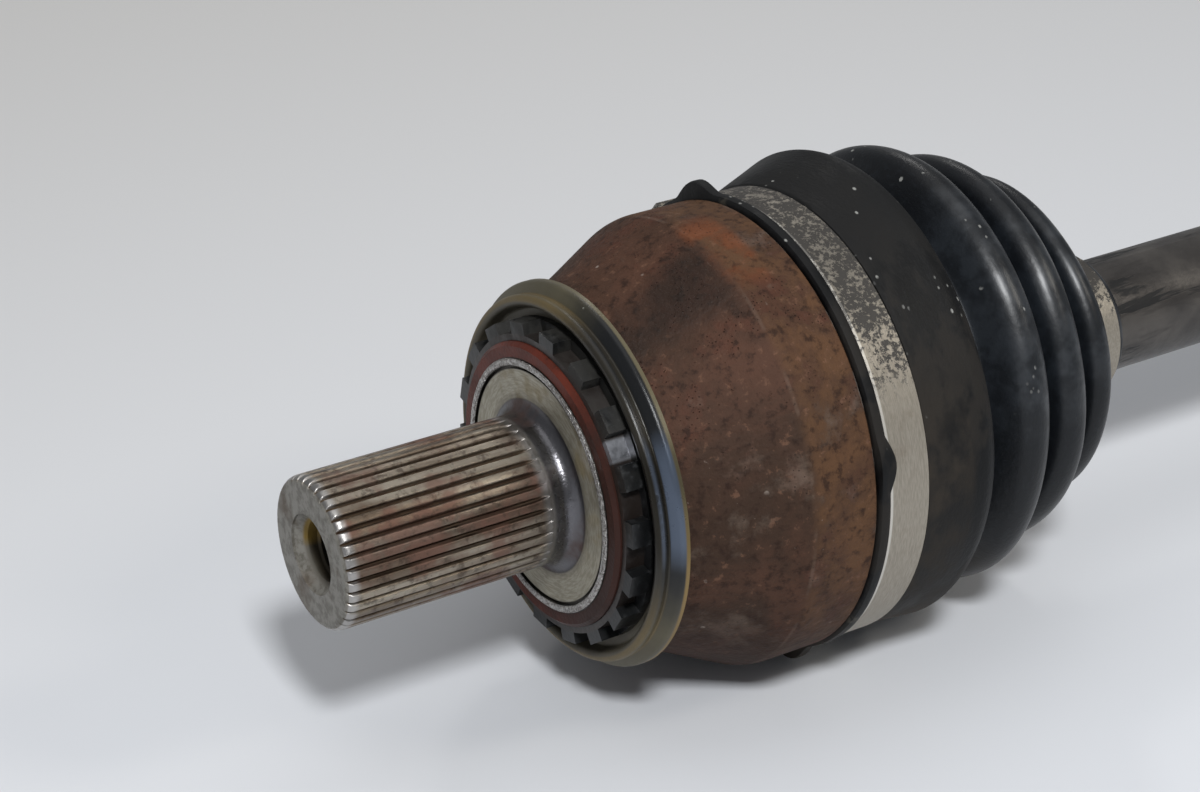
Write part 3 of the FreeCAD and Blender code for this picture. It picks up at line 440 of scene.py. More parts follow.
def forgedSteel():
    # one forging: worn spline and smooth neck, turned shoulder, rusty bell, and oiled ball tracks inside it
    f = Finish("forgedSteel")
    v = forgingValues
    fine = f.noise(1100, 4)
    grain = f.noise(420, 5, 0.65)
    broad = f.noise(75, 4, 0.6)
    blotch = f.noise(110, 5, 0.66)
    fretting = f.noise(1900, 4, 0.7).over(0.40, 0.62)
    pits = f.cells(1250).over(0.22, 0.10) * blotch.over(0.50, 0.60)
    darkBand = (f.facing(v["darkBandSide"]) + (broad - 0.5) * 0.06).over(0.968, 1.002) * f.x.over(*v["darkBand"])

    root = f.radius.over(*v["toothRoots"])
    neck = f.x.over(*v["neck"])
    shoulder = f.x.over(*v["shoulder"])
    annulus = f.radius.within(*v["annulus"])
    ring = f.radius.within(*v["frettedRing"])
    edge = f.radius.over(*v["redRing"])
    bell = f.x.over(*v["bell"])
    cone = (f.x - v["coneX"]) * v["coneSlope"] + v["coneRadius"]
    depth = cone.math("MINIMUM", cone, v["barrelRadius"]) - f.radius
    inside = depth.over(*v["wall"]) * f.x.over(*v["cavity"])

    neckColour = f.mix(broad.over(0.45, 0.66), tone(104, 103, 106), tone(82, 66, 62))
    stub = stubColour(f, root, neck, neckColour, grain, broad)
    flat = shoulderColour(f, annulus, ring, edge, neckColour, grain, broad, fretting)
    rust = bellColour(f, grain, broad, blotch, pits, darkBand)
    tracks = f.mix(broad, tone(148, 142, 130), tone(112, 104, 90))
    colour = f.mix(bell, f.mix(shoulder, stub, flat), f.mix(inside, rust, tracks))

    stained = broad.over(0.50, 0.66)
    metal = (1 - bell) * (1 - root * (1 - shoulder) * 0.8) * (1 - stained * 0.45) * (1 - shoulder * edge)
    metal = metal * (1 - annulus * shoulder * 0.45)
    rough = 0.33 + stained * 0.14 + fine * 0.08 - neck * (1 - shoulder) * 0.09
    rough = f.mixNumbers(bell * (1 - inside), rough, 0.58 - darkBand * 0.2 + grain * 0.12)
    crust = (grain * 1.1 + blotch * 1.3 + fine * 0.45 - pits * 0.7) * (1 - inside)
    height = f.mixNumbers(bell, fine * 0.25 + fretting * ring * 0.5, crust)
    metal = (metal + inside).clamped()
    return f.surface(colour, rough, metal, height, depth=0.00035, Specular_IOR_Level=0.13)


blockValues = {"tops": (0.0308, 0.0313), "dustSide": 95, "bareSide": 143}


def blackBlocks():
    # glossy black blocks; the disc between them shows bare steel in one gap, and grey dust lies on top
    f = Finish("blackBlocks")
    v = blockValues
    grain = f.noise(700, 3)
    dust = f.facing(v["dustSide"]).over(0.35, 0.9) * f.noise(150, 3).over(0.34, 0.6)
    bare = f.facing(v["bareSide"]).over(0.9966, 0.9990)
    block = f.layers(
        f.mix(grain.over(0.55, 0.72), tone(17, 18, 19), tone(44, 45, 46)),
        (dust * 0.6, tone(40, 38, 33)),
        (bare, tone(120, 120, 122)),
    )
    disc = f.mix(f.noise(260, 3), tone(44, 35, 30), tone(28, 23, 20))
    disc = f.mix(bare, disc, tone(168, 170, 176))
    colour = f.mix(f.radius.over(*v["tops"]), disc, block)
    return f.surface(colour, 0.26 + grain * 0.16 + dust * 0.3, bare, grain, depth=0.00008)


shieldValues = {
    "bead": (0.0366, 0.0371),
    "band": (0.0379, 0.0382),
    "rim": (0.0595, 0.0600),
    "glossAndShadeSide": 148,
    "highlightPatchSide": 163,
    "ochreSide": 222,
}


def shieldSteel():
    # dark dish, ochre line on the bead, near-black shiny band with a pale blue painted highlight, and an
    # olive rim;
    # all but the rim are dusty on the far side, painted lighter there as if lit, and painted dark as shade
    # on the shiny side
    f = Finish("shieldSteel")
    v = shieldValues
    grain = f.noise(520, 4)
    dull = f.noise(60, 4, 0.6)
    wear = f.noise(130, 4, 0.6, place=f.turned(420, 9))
    # the shiny side is smoother and painted dark as shade; elsewhere dust, painted lighter as if lit
    glossAndShade = (f.facing(v["glossAndShadeSide"]) + (dull - 0.5) * 0.25).over(0.42, 0.80)
    highlightPatch = (f.facing(v["highlightPatchSide"]) + (dull - 0.5) * 0.04).over(0.925, 0.985)
    dustyLitDish = f.mix(dull, tone(98, 92, 78), tone(68, 63, 52))
    dish = f.mix(glossAndShade, dustyLitDish, f.mix(wear, tone(34, 30, 26), tone(20, 18, 16)))
    dustyLitBead = f.mix(wear.over(0.4, 0.6), tone(112, 94, 58), tone(90, 82, 62))
    bead = f.mix(glossAndShade, dustyLitBead, tone(40, 37, 31))
    dustyLitBand = f.mix(dull, tone(98, 92, 72), tone(74, 69, 56))
    band = f.mix(glossAndShade, dustyLitBand, f.mix(wear, tone(30, 31, 32), tone(14, 15, 17)))
    # painted highlight: a pale blue patch on the band where the lamp reflects
    band = f.mix(highlightPatch * 0.8, band, tone(96, 106, 122))
    rim = f.mix(wear.over(0.35, 0.65), tone(106, 98, 74), tone(84, 78, 62))
    rim = f.mix(f.facing(v["ochreSide"]).over(0.4, 0.9) * 0.7, rim, tone(134, 106, 52))
    speck = f.cells(320).over(0.09, 0.05) * f.noise(90, 2).over(0.56, 0.62)
    colour = f.layers(
        dish,
        (f.radius.over(*v["bead"]), bead),
        (f.radius.over(*v["band"]), band),
        (f.x.over(*v["rim"]), rim),
        (speck, tone(150, 150, 140)),
    )
    rough = 0.40 - glossAndShade * 0.18 + grain * 0.08 + dull * 0.06
    metal = (0.25 - glossAndShade * 0.20 + highlightPatch * 0.6).clamped()
    return f.surface(colour, rough, metal, grain + wear * 0.4, depth=0.00003, Specular_IOR_Level=0.36)


rubberValues = {
    "firstFold": (0.1345, 0.1310),
    "dustStrip": (0.1122, 0.1222, 0.002),
    "coatAndPaintedSheenSide": 136,
    "soiledSide": 195,
}


def bootRubber():
    # black rubber, dull on the first fold and greasy on the others, with a painted bluish highlight on the
    # lamp's side of those, a dusty strip behind the clamp that fades out on top, dust low down, and pale
    # nicks on top
    f = Finish("bootRubber")
    v = rubberValues
    grain = f.noise(1500, 3)
    bloom = f.noise(45, 4, 0.6)
    ring = f.noise(5, 3, place=f.turned(260, 5))
    smear = f.noise(110, 4, 0.66, place=f.vector(f.x * 0.8, f.y * 0.45, f.z * 0.45))
    wiped = f.noise(70, 4, 0.6).over(0.40, 0.58)
    first = f.x.over(*v["firstFold"])
    # 1 away from the top and 0 on it: the dusty strip fades out towards the top
    belowTop = f.upward.over(0.70, 0.05)
    dusty = f.x.within(*v["dustStrip"]) * (0.25 + wiped * 0.75) * (0.12 + belowTop * 0.88)
    low = f.upward.over(-0.45, -0.92) * (0.4 + wiped * 0.6)
    coatAndPaintedSheen = (f.facing(v["coatAndPaintedSheenSide"]) + (bloom - 0.5) * 0.3).over(0.76, 0.97)
    coatAndPaintedSheen = coatAndPaintedSheen * (0.25 + f.noise(150, 3, 0.6).over(0.40, 0.62) * 0.75)
    soiled = first * f.facing(v["soiledSide"]).over(-0.1, 0.75) * smear.over(0.56, 0.44)
    dab = f.noise(48, 3, 0.7).over(0.68, 0.76) * f.noise(500, 3).over(0.40, 0.6)
    nick = f.cells(1, place=f.turned(520, 16)).over(0.20, 0.10)
    nick = nick * f.noise(110, 2).over(0.56, 0.62) * f.upward.over(0.15, 0.65)
    colour = f.layers(
        f.mix(bloom, tone(10, 11, 13), tone(20, 23, 27)),
        (ring.over(0.48, 0.8) * 0.30, tone(36, 40, 46)),
        (first * 0.8, f.mix(smear.over(0.42, 0.60), tone(20, 20, 20), tone(7, 7, 7))),
        # painted highlight: a bluish lighter colour on the lamp's side of the greasy folds
        ((1 - first) * coatAndPaintedSheen * 0.6, tone(33, 38, 44)),
        ((dusty * 0.34 + low * 0.65 + soiled * 0.22).clamped(), tone(60, 53, 45)),
        (dab * 0.35, tone(104, 98, 86)),
        (nick * 0.9, tone(150, 150, 146)),
    )
    rough = 0.33 + bloom * 0.12 + first * (0.28 - smear.over(0.42, 0.60) * 0.16)
    rough = rough + (dusty + low).clamped() * 0.14 + nick * 0.2
    relief = grain * 0.4 + ring * 0.7 - nick * 0.6
    greasy = {"Coat_Weight": (1 - first) * (0.18 + coatAndPaintedSheen * 0.82), "Coat_Roughness": 0.38}
    return f.surface(colour, rough, 0.0, relief, depth=0.00012, Specular_IOR_Level=0.22, **greasy)


clampValues = {"eatenSide": 82, "frontEdge": (0.1020, 0.1030, 0.0002)}


def clampSteel():
    # plain bright steel low down, black corrosion in specks and clouds over the top, a bright front edge
    f = Finish("clampSteel")
    v = clampValues
    brushed = f.noise(6, 4, place=f.turned(900, 4))
    cloud = f.noise(110, 5, 0.7)
    speck = f.noise(900, 5, 0.8)
    side = f.facing(v["eatenSide"])
    upper = side.over(0.58, 0.86)
    eaten = (speck + cloud * 0.55 + side.over(0.42, 0.66) * 0.07 + upper * 0.045).over(0.81, 0.87)
    eaten = eaten * side.over(0.30, 0.48)
    front = f.x.within(*v["frontEdge"])
    colour = f.layers(
        f.mix(brushed.over(0.3, 0.7), tone(164, 157, 145), tone(144, 137, 125)),
        (cloud.over(0.56, 0.70) * 0.35, tone(126, 114, 99)),
        (upper * 0.35, tone(112, 108, 102)),
        (eaten * 0.94, f.mix(speck, tone(30, 28, 27), tone(60, 57, 54))),
        (front * (1 - eaten * 0.8) * 0.8, tone(214, 210, 202)),
    )
    rough = 0.48 + eaten * 0.18 + brushed * 0.06
    metal = 0.70 - eaten * 0.50
    return f.surface(colour, rough, metal, brushed * 0.25 - eaten * 0.5, depth=0.00010)


barValues = {"splinedEnds": (0.01262, 0.01256)}


def barSteel():
    # stoved bar, dark grey, with black irregular streaks along it and bright splines at its ends
    f = Finish("barSteel")
    grain = f.noise(700, 4)
    cloud = f.noise(60, 4, 0.6)
    streak = f.noise(150, 4, 0.62, place=f.vector(f.x * 0.16, f.y, f.z), twist=0.3)
    black = streak.over(0.585, 0.625)
    splined = f.radius.over(*barValues["splinedEnds"])
    colour = f.layers(
        f.mix(cloud.over(0.35, 0.65), tone(84, 80, 76), tone(62, 59, 57)),
        (streak.over(0.50, 0.585) * 0.5, tone(46, 43, 41)),
        (black, tone(16, 15, 15)),
        (splined, tone(150, 144, 134)),
    )
    rough = 0.36 + grain * 0.14 + black * 0.15
    return f.surface(colour, rough, 0.45 - black * 0.3, grain - black * 0.6, depth=0.00010)


def flangeSteel():
    # turned steel of the flange ring, with rust in patches
    f = Finish("flangeSteel")
    turnedMarks = f.noise(8, 4, place=f.turned(700, 4))
    patch = f.noise(60, 4, 0.6)
    colour = f.mix(turnedMarks, tone(150, 146, 138), tone(116, 112, 106))
    colour = f.mix(patch.over(0.52, 0.7), colour, tone(112, 76, 56))
    return f.surface(colour, 0.34 + patch * 0.25, 0.7, turnedMarks * 0.5 + patch, depth=0.00015)


def pressedSteel():
    # yellow-plated sheet of the two caps, clouded
    f = Finish("pressedSteel")
    grain = f.noise(480, 4)
    cloud = f.noise(50, 3)
    colour = f.mix(cloud, tone(168, 160, 138), tone(134, 130, 120))
    return f.surface(colour, 0.34 + grain * 0.2, 0.8, grain, depth=0.00008)


def oiledSteel(name, light, dark, rough):
    # ground and oiled steel, clouded by a thin film of grease
    f = Finish(name)
    film = f.noise(140, 3)
    fine = f.noise(1500, 2)
    colour = f.mix(film, tone(*light), tone(*dark))
    return f.surface(colour, rough + film * 0.18, 0.9, fine, depth=0.00003)


finishes = {
    "outer_housing": forgedSteel(),
    "castellated_ring": blackBlocks(),
    "dust_shield": shieldSteel(),
    "boots": bootRubber(),
    "shaft_bar": barSteel(),
    "inner_housing": flangeSteel(),
    "pressed_caps": pressedSteel(),
    "clamps": clampSteel(),
    "races": oiledSteel("raceSteel", (140, 132, 116), (96, 88, 76), 0.26),
    "snap_rings": oiledSteel("springSteel", (92, 90, 88), (66, 64, 62), 0.3),
    "balls": oiledSteel("ballSteel", (206, 204, 200), (186, 182, 172), 0.08),
}
print("finishes made:", len(finishes))


def dress(piece, slotName):
    # gives a piece the finish of one of the record's slots
    piece.data.materials.clear()
    piece.data.materials.append(finishes[slotName])


slotByNode = {
    "outer_housing": "outer_housing",
    "castellated_ring": "castellated_ring",
    "dust_shield": "dust_shield",
    "shaft_bar": "shaft_bar",
    "inner_housing": "inner_housing",
    "inner_boot_cap": "pressed_caps",
    "grease_cap": "pressed_caps",
}
for nodeName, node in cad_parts.items():
    if nodeName in slotByNode:
        slotName = slotByNode[nodeName]
    elif "ball" in nodeName:
        slotName = "balls"
    elif "snap" in nodeName:
        slotName = "snap_rings"
    elif "star" in nodeName or "cage" in nodeName:
        slotName = "races"
    elif "clamp" in nodeName:
        slotName = "clamps"
    else:
        slotName = "boots"
    dress(node, slotName)


# Boots

# the bore of both boots' necks is a hair wider than the bar
barRadius = 0.01275
neckGap = 0.0001
neckBore = barRadius + neckGap

outerBootValues = {
    "front": 0.0998,
    "wall": 0.0022,
    "lipRadius": 0.0485,
    "lipLength": 0.0026,
    "lipRound": 0.0007,
    "bandRadius": 0.0470,
    "bandLength": 0.0096,
    "seatRadius": 0.0448,
    "seatEnd": 0.1123,
    # ridges: station, radius and the round of their crest
    "ridges": (
        (0.1256, 0.0487, 0.0046),
        (0.1426, 0.0464, 0.0046),
        (0.1560, 0.0422, 0.0042),
        (0.1680, 0.0362, 0.0030),
    ),
    "valleys": (0.0384, 0.0338, 0.0280),
    "valleyRound": 0.0012,
    "neckX": 0.1770,
    "neckRadius": 0.0155,
    "neckRound": 0.0030,
    "neckRun": (0.0040, 0.0044),
    "end": 0.1910,
    "endChamfer": 0.0006,
    # the step up from the clamp's band to the first fold: its length and its rise
    "bandStep": (0.0004, 0.0006),
    "bendStart": 0.110,
    "bendEnd": 0.166,
    # The tabs grow from clampTop over a height of tabRoot, on points up to lipMargin behind the lip. Their
    # rear side starts at tabFront behind the lip's front and is complete after tabSlope.
    "clampTop": 0.0480,
    "tabRoot": 0.0004,
    "lipMargin": 0.0002,
    "tabFront": 0.0008,
    "tabSlope": 0.0010,
    "tabPower": 0.7,
    # tabs on the lip: azimuth, half its width in degrees, rise, reach over the clamp's edge
    "tabs": (
        (67, 9.0, 0.0026, 0.0004),
        (166, 8.0, 0.0007, 0.0016),
        (247, 9.0, 0.0026, 0.0004),
        (346, 8.0, 0.0007, 0.0016),
    ),
    # slow waves of the folds: size, turns in one round of the boot, radians per metre along it, and phase
    "waves": ((0.00016, 3, 140, 0.0), (0.00010, 5, -260, 1.0)),
    # lengths over which the waves fade out at the band and at the neck, and their share along x
    "waveFade": (0.004, 0.006),
    "waveAlong": 0.6,
    # how far the soft folds stand high at one azimuth and low opposite, at stations along x
    "highSide": 58,
    "setX": (0.112, 0.1256, 0.1426, 0.156, 0.168, 0.177),
    "high": (0.0004, 0.0040, 0.0038, 0.0032, 0.0021, 0.0),
    "low": (0.0, 0.0, 0.0012, 0.0020, 0.0022, 0.0),
    "steps": 280,
    "coarse": 0.0022,
}


def foldStops(values, wall=0.0):
    # round stops for the ridges and valleys in turn; a wall moves the line inwards
    ridges = values["ridges"]
    under = values["valleyRound"]
    x, r, over = ridges[0]
    stops = [(x, r - over, over - wall)]
    for (x, _, _), (nextX, nextR, over), valley in zip(ridges, ridges[1:], values["valleys"]):
        stops.append(((x + nextX) / 2, valley + under, -under - wall))
        stops.append((nextX, nextR - over, over - wall))
    return stops


def outerBoot():
    # the bell-side boot: a lip in front of the band, four shrinking ridges and a neck on the bar
    v = outerBootValues
    bandStart = v["front"] + v["lipLength"]
    bandEnd = bandStart + v["bandLength"]
    neck = (v["neckX"], v["neckRadius"] + v["neckRound"])
    lipRound = v["lipRound"]
    stepLength, stepRise = v["bandStep"]
    outerRun, innerRun = v["neckRun"]
    outside = roundedLine([
        (v["front"], v["seatRadius"] + lipRound, 0),
        (v["front"] + lipRound, v["lipRadius"] - lipRound, lipRound),
        (bandStart - lipRound, v["lipRadius"] - lipRound, lipRound),
        (bandStart, v["bandRadius"], 0),
        (bandEnd, v["bandRadius"], 0),
        (bandEnd + stepLength, v["bandRadius"] + stepRise, 0),
        *foldStops(v),
        (*neck, -v["neckRound"]),
        (neck[0] + outerRun, v["neckRadius"], 0),
        (v["end"] - v["endChamfer"], v["neckRadius"], 0),
        (v["end"], v["neckRadius"] - v["endChamfer"], 0),
    ])
    inside = roundedLine([
        (v["front"], v["seatRadius"], 0),
        (v["seatEnd"], v["seatRadius"], 0),
        *foldStops(v, v["wall"]),
        (*neck, -v["neckRound"] - v["wall"]),
        (neck[0] + innerRun, neckBore, 0),
        (v["end"], neckBore, 0),
    ], v["coarse"])
    profile = np.concatenate([outside, inside[::-1]])

    def change(x, r, azimuth):
        # The folds swell and sink a little round the boot in slow waves. They also stand high on one side:
        # half the sum of high and low times the cosine, and half their difference times its square.
        fadeIn, fadeOut = v["waveFade"]
        folds = np.clip((x - bandEnd) / fadeIn, 0.0, 1.0) * np.clip((v["neckX"] - x) / fadeOut, 0.0, 1.0)
        swell = 0.0
        for size, turns, along, phase in v["waves"]:
            swell = swell + size * np.sin(turns * azimuth + along * x + phase)
        high, low = (np.interp(x, v["setX"], v[key]) for key in ("high", "low"))
        lean = np.cos(turnAway(azimuth, v["highSide"]))
        moved = x + v["waveAlong"] * folds * swell
        risen = r + folds * swell + 0.5 * (high + low) * lean + 0.5 * (high - low) * lean ** 2
        # the tabs rise from the lip above the clamp, and their rear side reaches over the clamp's edge
        lip = (x < bandStart + v["lipMargin"]) * np.clip((r - v["clampTop"]) / v["tabRoot"], 0.0, 1.0)
        behind = np.clip((x - v["front"] - v["tabFront"]) / v["tabSlope"], 0.0, 1.0)
        for degrees, half, rise, reach in v["tabs"]:
            rounded = tab(azimuth, degrees, half, v["tabPower"])
            risen = risen + rise * lip * rounded
            moved = moved + reach * lip * behind * rounded
        return moved, risen

    boot = turnedPiece("outerBoot", profile, v["steps"], change)
    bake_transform(boot)
    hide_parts("outer_boot")
    dress(boot, "boots")


innerBootValues = {
    "flangeFace": 0.500,
    "collar": 0.009,
    "collarEnd": 0.022,
    "wall": 0.0022,
    "lipRadius": 0.0434,
    "seatRadius": 0.04145,
    "ridges": (
        (0.031, 0.0445, 0.0036),
        (0.044, 0.0440, 0.0036),
        (0.056, 0.0400, 0.0036),
        (0.067, 0.0320, 0.0030),
    ),
    "valleys": (0.0400, 0.0385, 0.0285),
    "valleyRound": 0.0012,
    "neckX": 0.076,
    "neckRadius": 0.0155,
    "neckRound": 0.0030,
    "neckRun": (0.0040, 0.0044),
    "lipRise": 0.0008,
    "lipLength": 0.0016,
    "lipStep": 0.0001,
    # the step down from the collar to the first fold: its length and its fall
    "collarStep": (0.002, 0.0026),
    "end": 0.090,
    "splitX": 0.040,
    "plungeStart": 0.018,
    "steps": 200,
    "coarse": 0.0022,
}


def innerBoot():
    # The flange-side boot in two halves that meet at a split: a collar half and a neck half. Lengths run
    # from the flange ring's face towards the stub.
    v = innerBootValues
    neck = (v["neckX"], v["neckRadius"] + v["neckRound"])
    outerRun, innerRun = v["neckRun"]
    lipEnd = v["collar"] + v["lipLength"]
    stepLength, stepFall = v["collarStep"]
    outside = roundedLine([
        (v["collar"], v["lipRadius"] + v["lipRise"], 0),
        (lipEnd, v["lipRadius"] + v["lipRise"], 0),
        (lipEnd + v["lipStep"], v["lipRadius"], 0),
        (v["collarEnd"], v["lipRadius"], 0),
        (v["collarEnd"] + stepLength, v["lipRadius"] - stepFall, 0),
        *foldStops(v),
        (*neck, -v["neckRound"]),
        (neck[0] + outerRun, v["neckRadius"], 0),
        (v["end"], v["neckRadius"], 0),
    ])
    inside = roundedLine([
        (v["collar"], v["seatRadius"], 0),
        (v["collarEnd"], v["seatRadius"], 0),
        (v["collarEnd"] + stepLength, v["seatRadius"] - stepFall, 0),
        *foldStops(v, v["wall"]),
        (*neck, -v["neckRound"] - v["wall"]),
        (neck[0] + innerRun, neckBore, 0),
        (v["end"], neckBore, 0),
    ], v["coarse"])
    halves = {}
    outerParts, innerParts = parted(outside, v["splitX"]), parted(inside, v["splitX"])
    for name, outer, inner in zip(("innerBootCollar", "innerBootNeck"), outerParts, innerParts):
        profile = np.concatenate([outer, inner[::-1]])
        profile[:, 0] = v["flangeFace"] - profile[:, 0]
        halves[name] = turnedPiece(name, profile, v["steps"])
        dress(halves[name], "boots")
    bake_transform(halves["innerBootCollar"])
    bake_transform(halves["innerBootNeck"])
    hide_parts("inner_boot")


outerBoot()
innerBoot()
print("boots made")


# Thread of the axle bolt's hole

threadValues = {
    "wall": 0.00632,
    "crest": 0.00572,
    "pitch": 0.0015,
    "start": 0.0036,
    "turns": 24,
    "steps": 36,
    "rootHalf": 0.00058,
    "crestHalf": 0.00012,
    "leastHeight": 0.06,
}


def axleThread():
    # A ridge that winds down the hole: at turn t its middle is at start + pitch * t, and its four corners
    # are two on the wall and two on the crest. The crest sinks into the wall over the first and last turn.
    v = threadValues
    turn = np.linspace(0.0, v["turns"], v["turns"] * v["steps"] + 1)[:, None]
    height = np.clip(np.minimum(turn, v["turns"] - turn), 0.0, 1.0)
    height = v["leastHeight"] + (1 - v["leastHeight"]) * height
    crest = v["wall"] - (v["wall"] - v["crest"]) * height
    middle = v["start"] + v["pitch"] * turn
    halves = np.array([-v["rootHalf"], -v["crestHalf"], v["crestHalf"], v["rootHalf"]])[None, :]
    radius = np.concatenate([v["wall"] + 0 * crest, crest, crest, v["wall"] + 0 * crest], axis=1)
    azimuth = 2 * np.pi * turn
    points = np.stack([middle + halves, radius * np.cos(azimuth), radius * np.sin(azimuth)], axis=-1)
    rows = len(turn)
    faces = gridFaces(rows, 4, False)
    last = 4 * (rows - 1)
    ends = np.array([[3, 2, 1, 0], [last, last + 1, last + 2, last + 3]])
    piece = meshPiece("axleThread", points.reshape(-1, 3), np.concatenate([faces, ends]), "wheel_end")
    dress(piece, "outer_housing")


# Spline of the stub axle

splineValues = {
    "teeth": 38,
    "crest": 0.01555,
    "root": 0.01442,
    "crown": 0.00009,
    "inside": 0.01340,
    "grooveHalf": 0.24,
    "leastHalf": 0.0001,
    "front": 0.00003,
    "frontRadius": 0.01402,
    "tipLength": 0.0019,
    "fadeStart": 0.0418,
    "fadeEnd": 0.0449,
    "end": 0.0456,
    "endDrop": 0.0001,
    "fadePower": 0.8,
    "perTooth": 24,
    # rows of points on the rounded tips, the even length and the run-outs
    "tipRows": 9,
    "evenRows": 8,
    "fadeRows": 14,
}


def stubSpline():
    # The worn teeth over the forging's own. With t from 0 to 1 across a tooth's pitch, the radius is crest
    # minus depth, where depth falls from the groove's middle at t = 0.5 as a smooth step of its half width.
    # Depth and width fade to a point at the rear, and the crest rounds down to the end face in front.
    v = splineValues
    count = v["teeth"] * v["perTooth"]
    quarter = np.linspace(0, np.pi / 2, v["tipRows"])
    front = v["front"] + (v["tipLength"] - v["front"]) * (1 - np.cos(quarter))
    even = np.linspace(v["tipLength"], v["fadeStart"], v["evenRows"])[1:-1]
    rear = np.linspace(v["fadeStart"], v["fadeEnd"], v["fadeRows"])
    x = np.concatenate([front, even, rear, [v["end"]]])[:, None]
    t = (np.arange(count) / v["perTooth"] % 1.0)[None, :]
    tip = np.clip((x - v["front"]) / (v["tipLength"] - v["front"]), 0, 1)
    crest = v["frontRadius"] + (v["crest"] - v["frontRadius"]) * np.sqrt(1 - (1 - tip) ** 2)
    left = np.clip((v["fadeEnd"] - x) / (v["fadeEnd"] - v["fadeStart"]), 0, 1)
    share = np.clip(np.abs(t - 0.5) / (v["grooveHalf"] * np.sqrt(left) + v["leastHalf"]), 0, 1)
    depth = (v["crest"] - v["root"]) * left ** v["fadePower"] * (1 - share * share * (3 - 2 * share))
    outer = np.minimum(crest, v["crest"] - depth - v["crown"] * (2 * np.minimum(t, 1 - t)) ** 2)
    outer[-1] = v["crest"] - v["endDrop"]
    inner = np.full((1, count), v["inside"])
    radius = np.concatenate([outer, inner, inner])
    along = np.concatenate([np.repeat(x, count, axis=1), inner * 0 + v["end"], inner * 0 + v["front"]])
    dress(roundPiece("stubSpline", along, radius, "wheel_end"), "outer_housing")


axleThread()
stubSpline()
print("thread and spline made")


# Floor, light and camera

floorValues = {
    "half": 14.0,
    "gap": 0.0002,
    "paintedLampBlue": (0.6, -0.2),
    "middle": 0.28,
    "glow": (0.65, 1.60),
}


def floorFinish():
    # Pale grey, with painted light: lighter and bluish on the lamp's side. Far off, where the lamps fade,
    # the eye
    # still sees it pale: the glow grows with the distance from the shaft's middle, which is the root of the
    # sum of the two squares.
    f = Finish("paleFloor")
    v = floorValues
    colour = f.mix(f.y.over(*v["paintedLampBlue"]), tone(212, 210, 207), tone(224, 227, 233))
    colour = f.mix(f.noise(2.2, 2) * 0.3, colour, tone(216, 217, 218))
    seen = f.node("LightPath", {}, {}, "Is Camera Ray") + f.node("LightPath", {}, {}, "Is Glossy Ray")
    beside = f.x - v["middle"]
    away = (beside * beside + f.y * f.y) ** 0.5
    glow = f.mix(away.over(*v["glow"]) * seen, (0.0, 0.0, 0.0, 1.0), tone(178, 180, 184))
    return f.surface(colour, 0.55, 0.0, Emission_Color=glow, Emission_Strength=1.0)


def floor():
    # one square just under the part
    half = floorValues["half"]
    low = cadBox[0][2] - floorValues["gap"]
    corners = [(-half, -half, low), (half, -half, low), (half, half, low), (-half, half, low)]
    mesh = bpy.data.meshes.new("floor")
    mesh.from_pydata(corners, [], [(0, 1, 2, 3)])
    mesh.materials.append(floorFinish())
    piece = bpy.data.objects.new("floor", mesh)
    bpy.context.scene.collection.objects.link(piece)


cameraValues = {
    "azimuth": -32.13,
    "elevation": 27.59,
    "distance": 0.5795,
    "target": (0.06541, 0.0, 0.01616),
    "focalPixels": 2903.0,
    "framePixels": 1200.0,
    "sensor": 36.0,
    "nearest": 0.01,
}

lampAim = (0.10, 0.0, 0.0)
lampValues = (
    # name, place, size, watts, colour
    ("ceilingLamp", (-0.32, -0.94, 1.18), (0.22, 0.22), 18.5, (0.97, 0.985, 1.0)),
    ("overheadLamp", (0.15, 0.25, 1.60), (1.5, 1.2), 4.4, (1.0, 1.0, 1.0)),
    ("sideLamp", (0.95, -0.85, 1.00), (0.30, 0.30), 3.2, (1.0, 0.93, 0.82)),
    ("rearLamp", (0.75, 1.00, 0.92), (0.16, 0.16), 1.4, (1.0, 0.98, 0.96)),
)
skyValues = {"colour": (0.93, 0.96, 1.0, 1.0), "strength": 0.24, "backdrop": tone(196, 198, 202)}


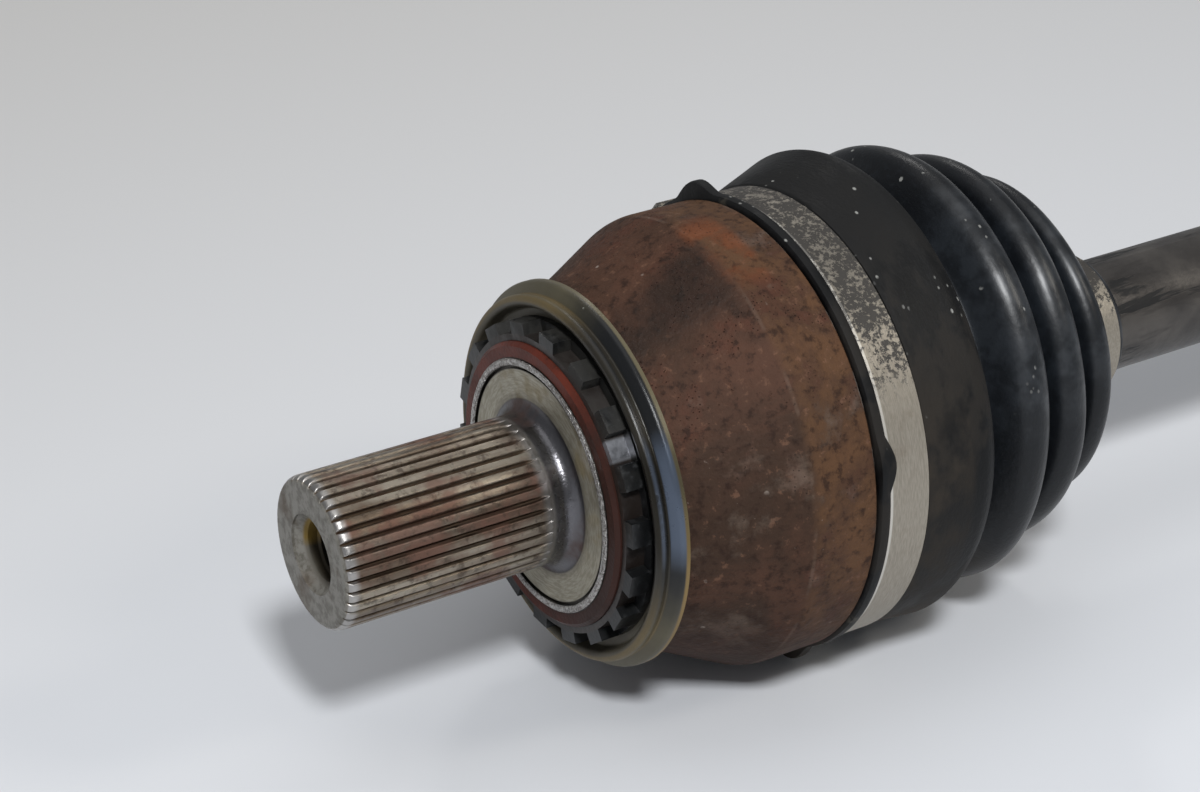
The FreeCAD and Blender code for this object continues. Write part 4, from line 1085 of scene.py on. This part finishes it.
def camera():
    # the lens looks at the target from a distance; back is the way from the target to the lens
    v = cameraValues
    a, e = math.radians(v["azimuth"]), math.radians(v["elevation"])
    back = np.array((math.sin(a) * math.cos(e), -math.cos(a) * math.cos(e), math.sin(e)))
    lens = bpy.data.cameras.new("camera")
    lens.sensor_width = v["sensor"]
    lens.lens = v["focalPixels"] / v["framePixels"] * v["sensor"]
    lens.clip_start = v["nearest"]
    piece = bpy.data.objects.new("camera", lens)
    piece.location = np.array(v["target"]) + v["distance"] * back
    piece.rotation_euler = (math.pi / 2 - e, 0.0, a)
    bpy.context.scene.collection.objects.link(piece)
    bpy.context.scene.camera = piece


def lamps():
    # flat lamps, each turned towards one point of the part
    for name, place, size, watts, colour in lampValues:
        lamp = bpy.data.lights.new(name, "AREA")
        lamp.shape = "RECTANGLE"
        lamp.size, lamp.size_y = size
        lamp.energy = watts
        lamp.color = colour
        piece = bpy.data.objects.new(name, lamp)
        piece.location = place
        aim = np.array(lampAim) - np.array(place)
        piece.rotation_euler = (
            math.atan2(math.hypot(aim[0], aim[1]), -aim[2]),
            0.0,
            math.atan2(aim[1], aim[0]) - math.pi / 2,
        )
        bpy.context.scene.collection.objects.link(piece)


def skyLight():
    # an even grey-white room, which the eye sees as pale as the floor
    v = skyValues
    world = bpy.data.worlds.new("room")
    world.use_nodes = True
    nodes, links = world.node_tree.nodes, world.node_tree.links
    sky = nodes["Background"]
    sky.inputs["Color"].default_value = v["colour"]
    sky.inputs["Strength"].default_value = v["strength"]
    backdrop = nodes.new("ShaderNodeBackground")
    backdrop.inputs["Color"].default_value = v["backdrop"]
    backdrop.inputs["Strength"].default_value = 1.0
    path = nodes.new("ShaderNodeLightPath")
    both = nodes.new("ShaderNodeMixShader")
    links.new(path.outputs["Is Camera Ray"], both.inputs[0])
    links.new(sky.outputs[0], both.inputs[1])
    links.new(backdrop.outputs[0], both.inputs[2])
    links.new(both.outputs[0], nodes["World Output"].inputs["Surface"])
    bpy.context.scene.world = world


floor()
camera()
lamps()
skyLight()
bpy.context.scene.view_settings.view_transform = "Standard"
print("floor, camera and lamps made")
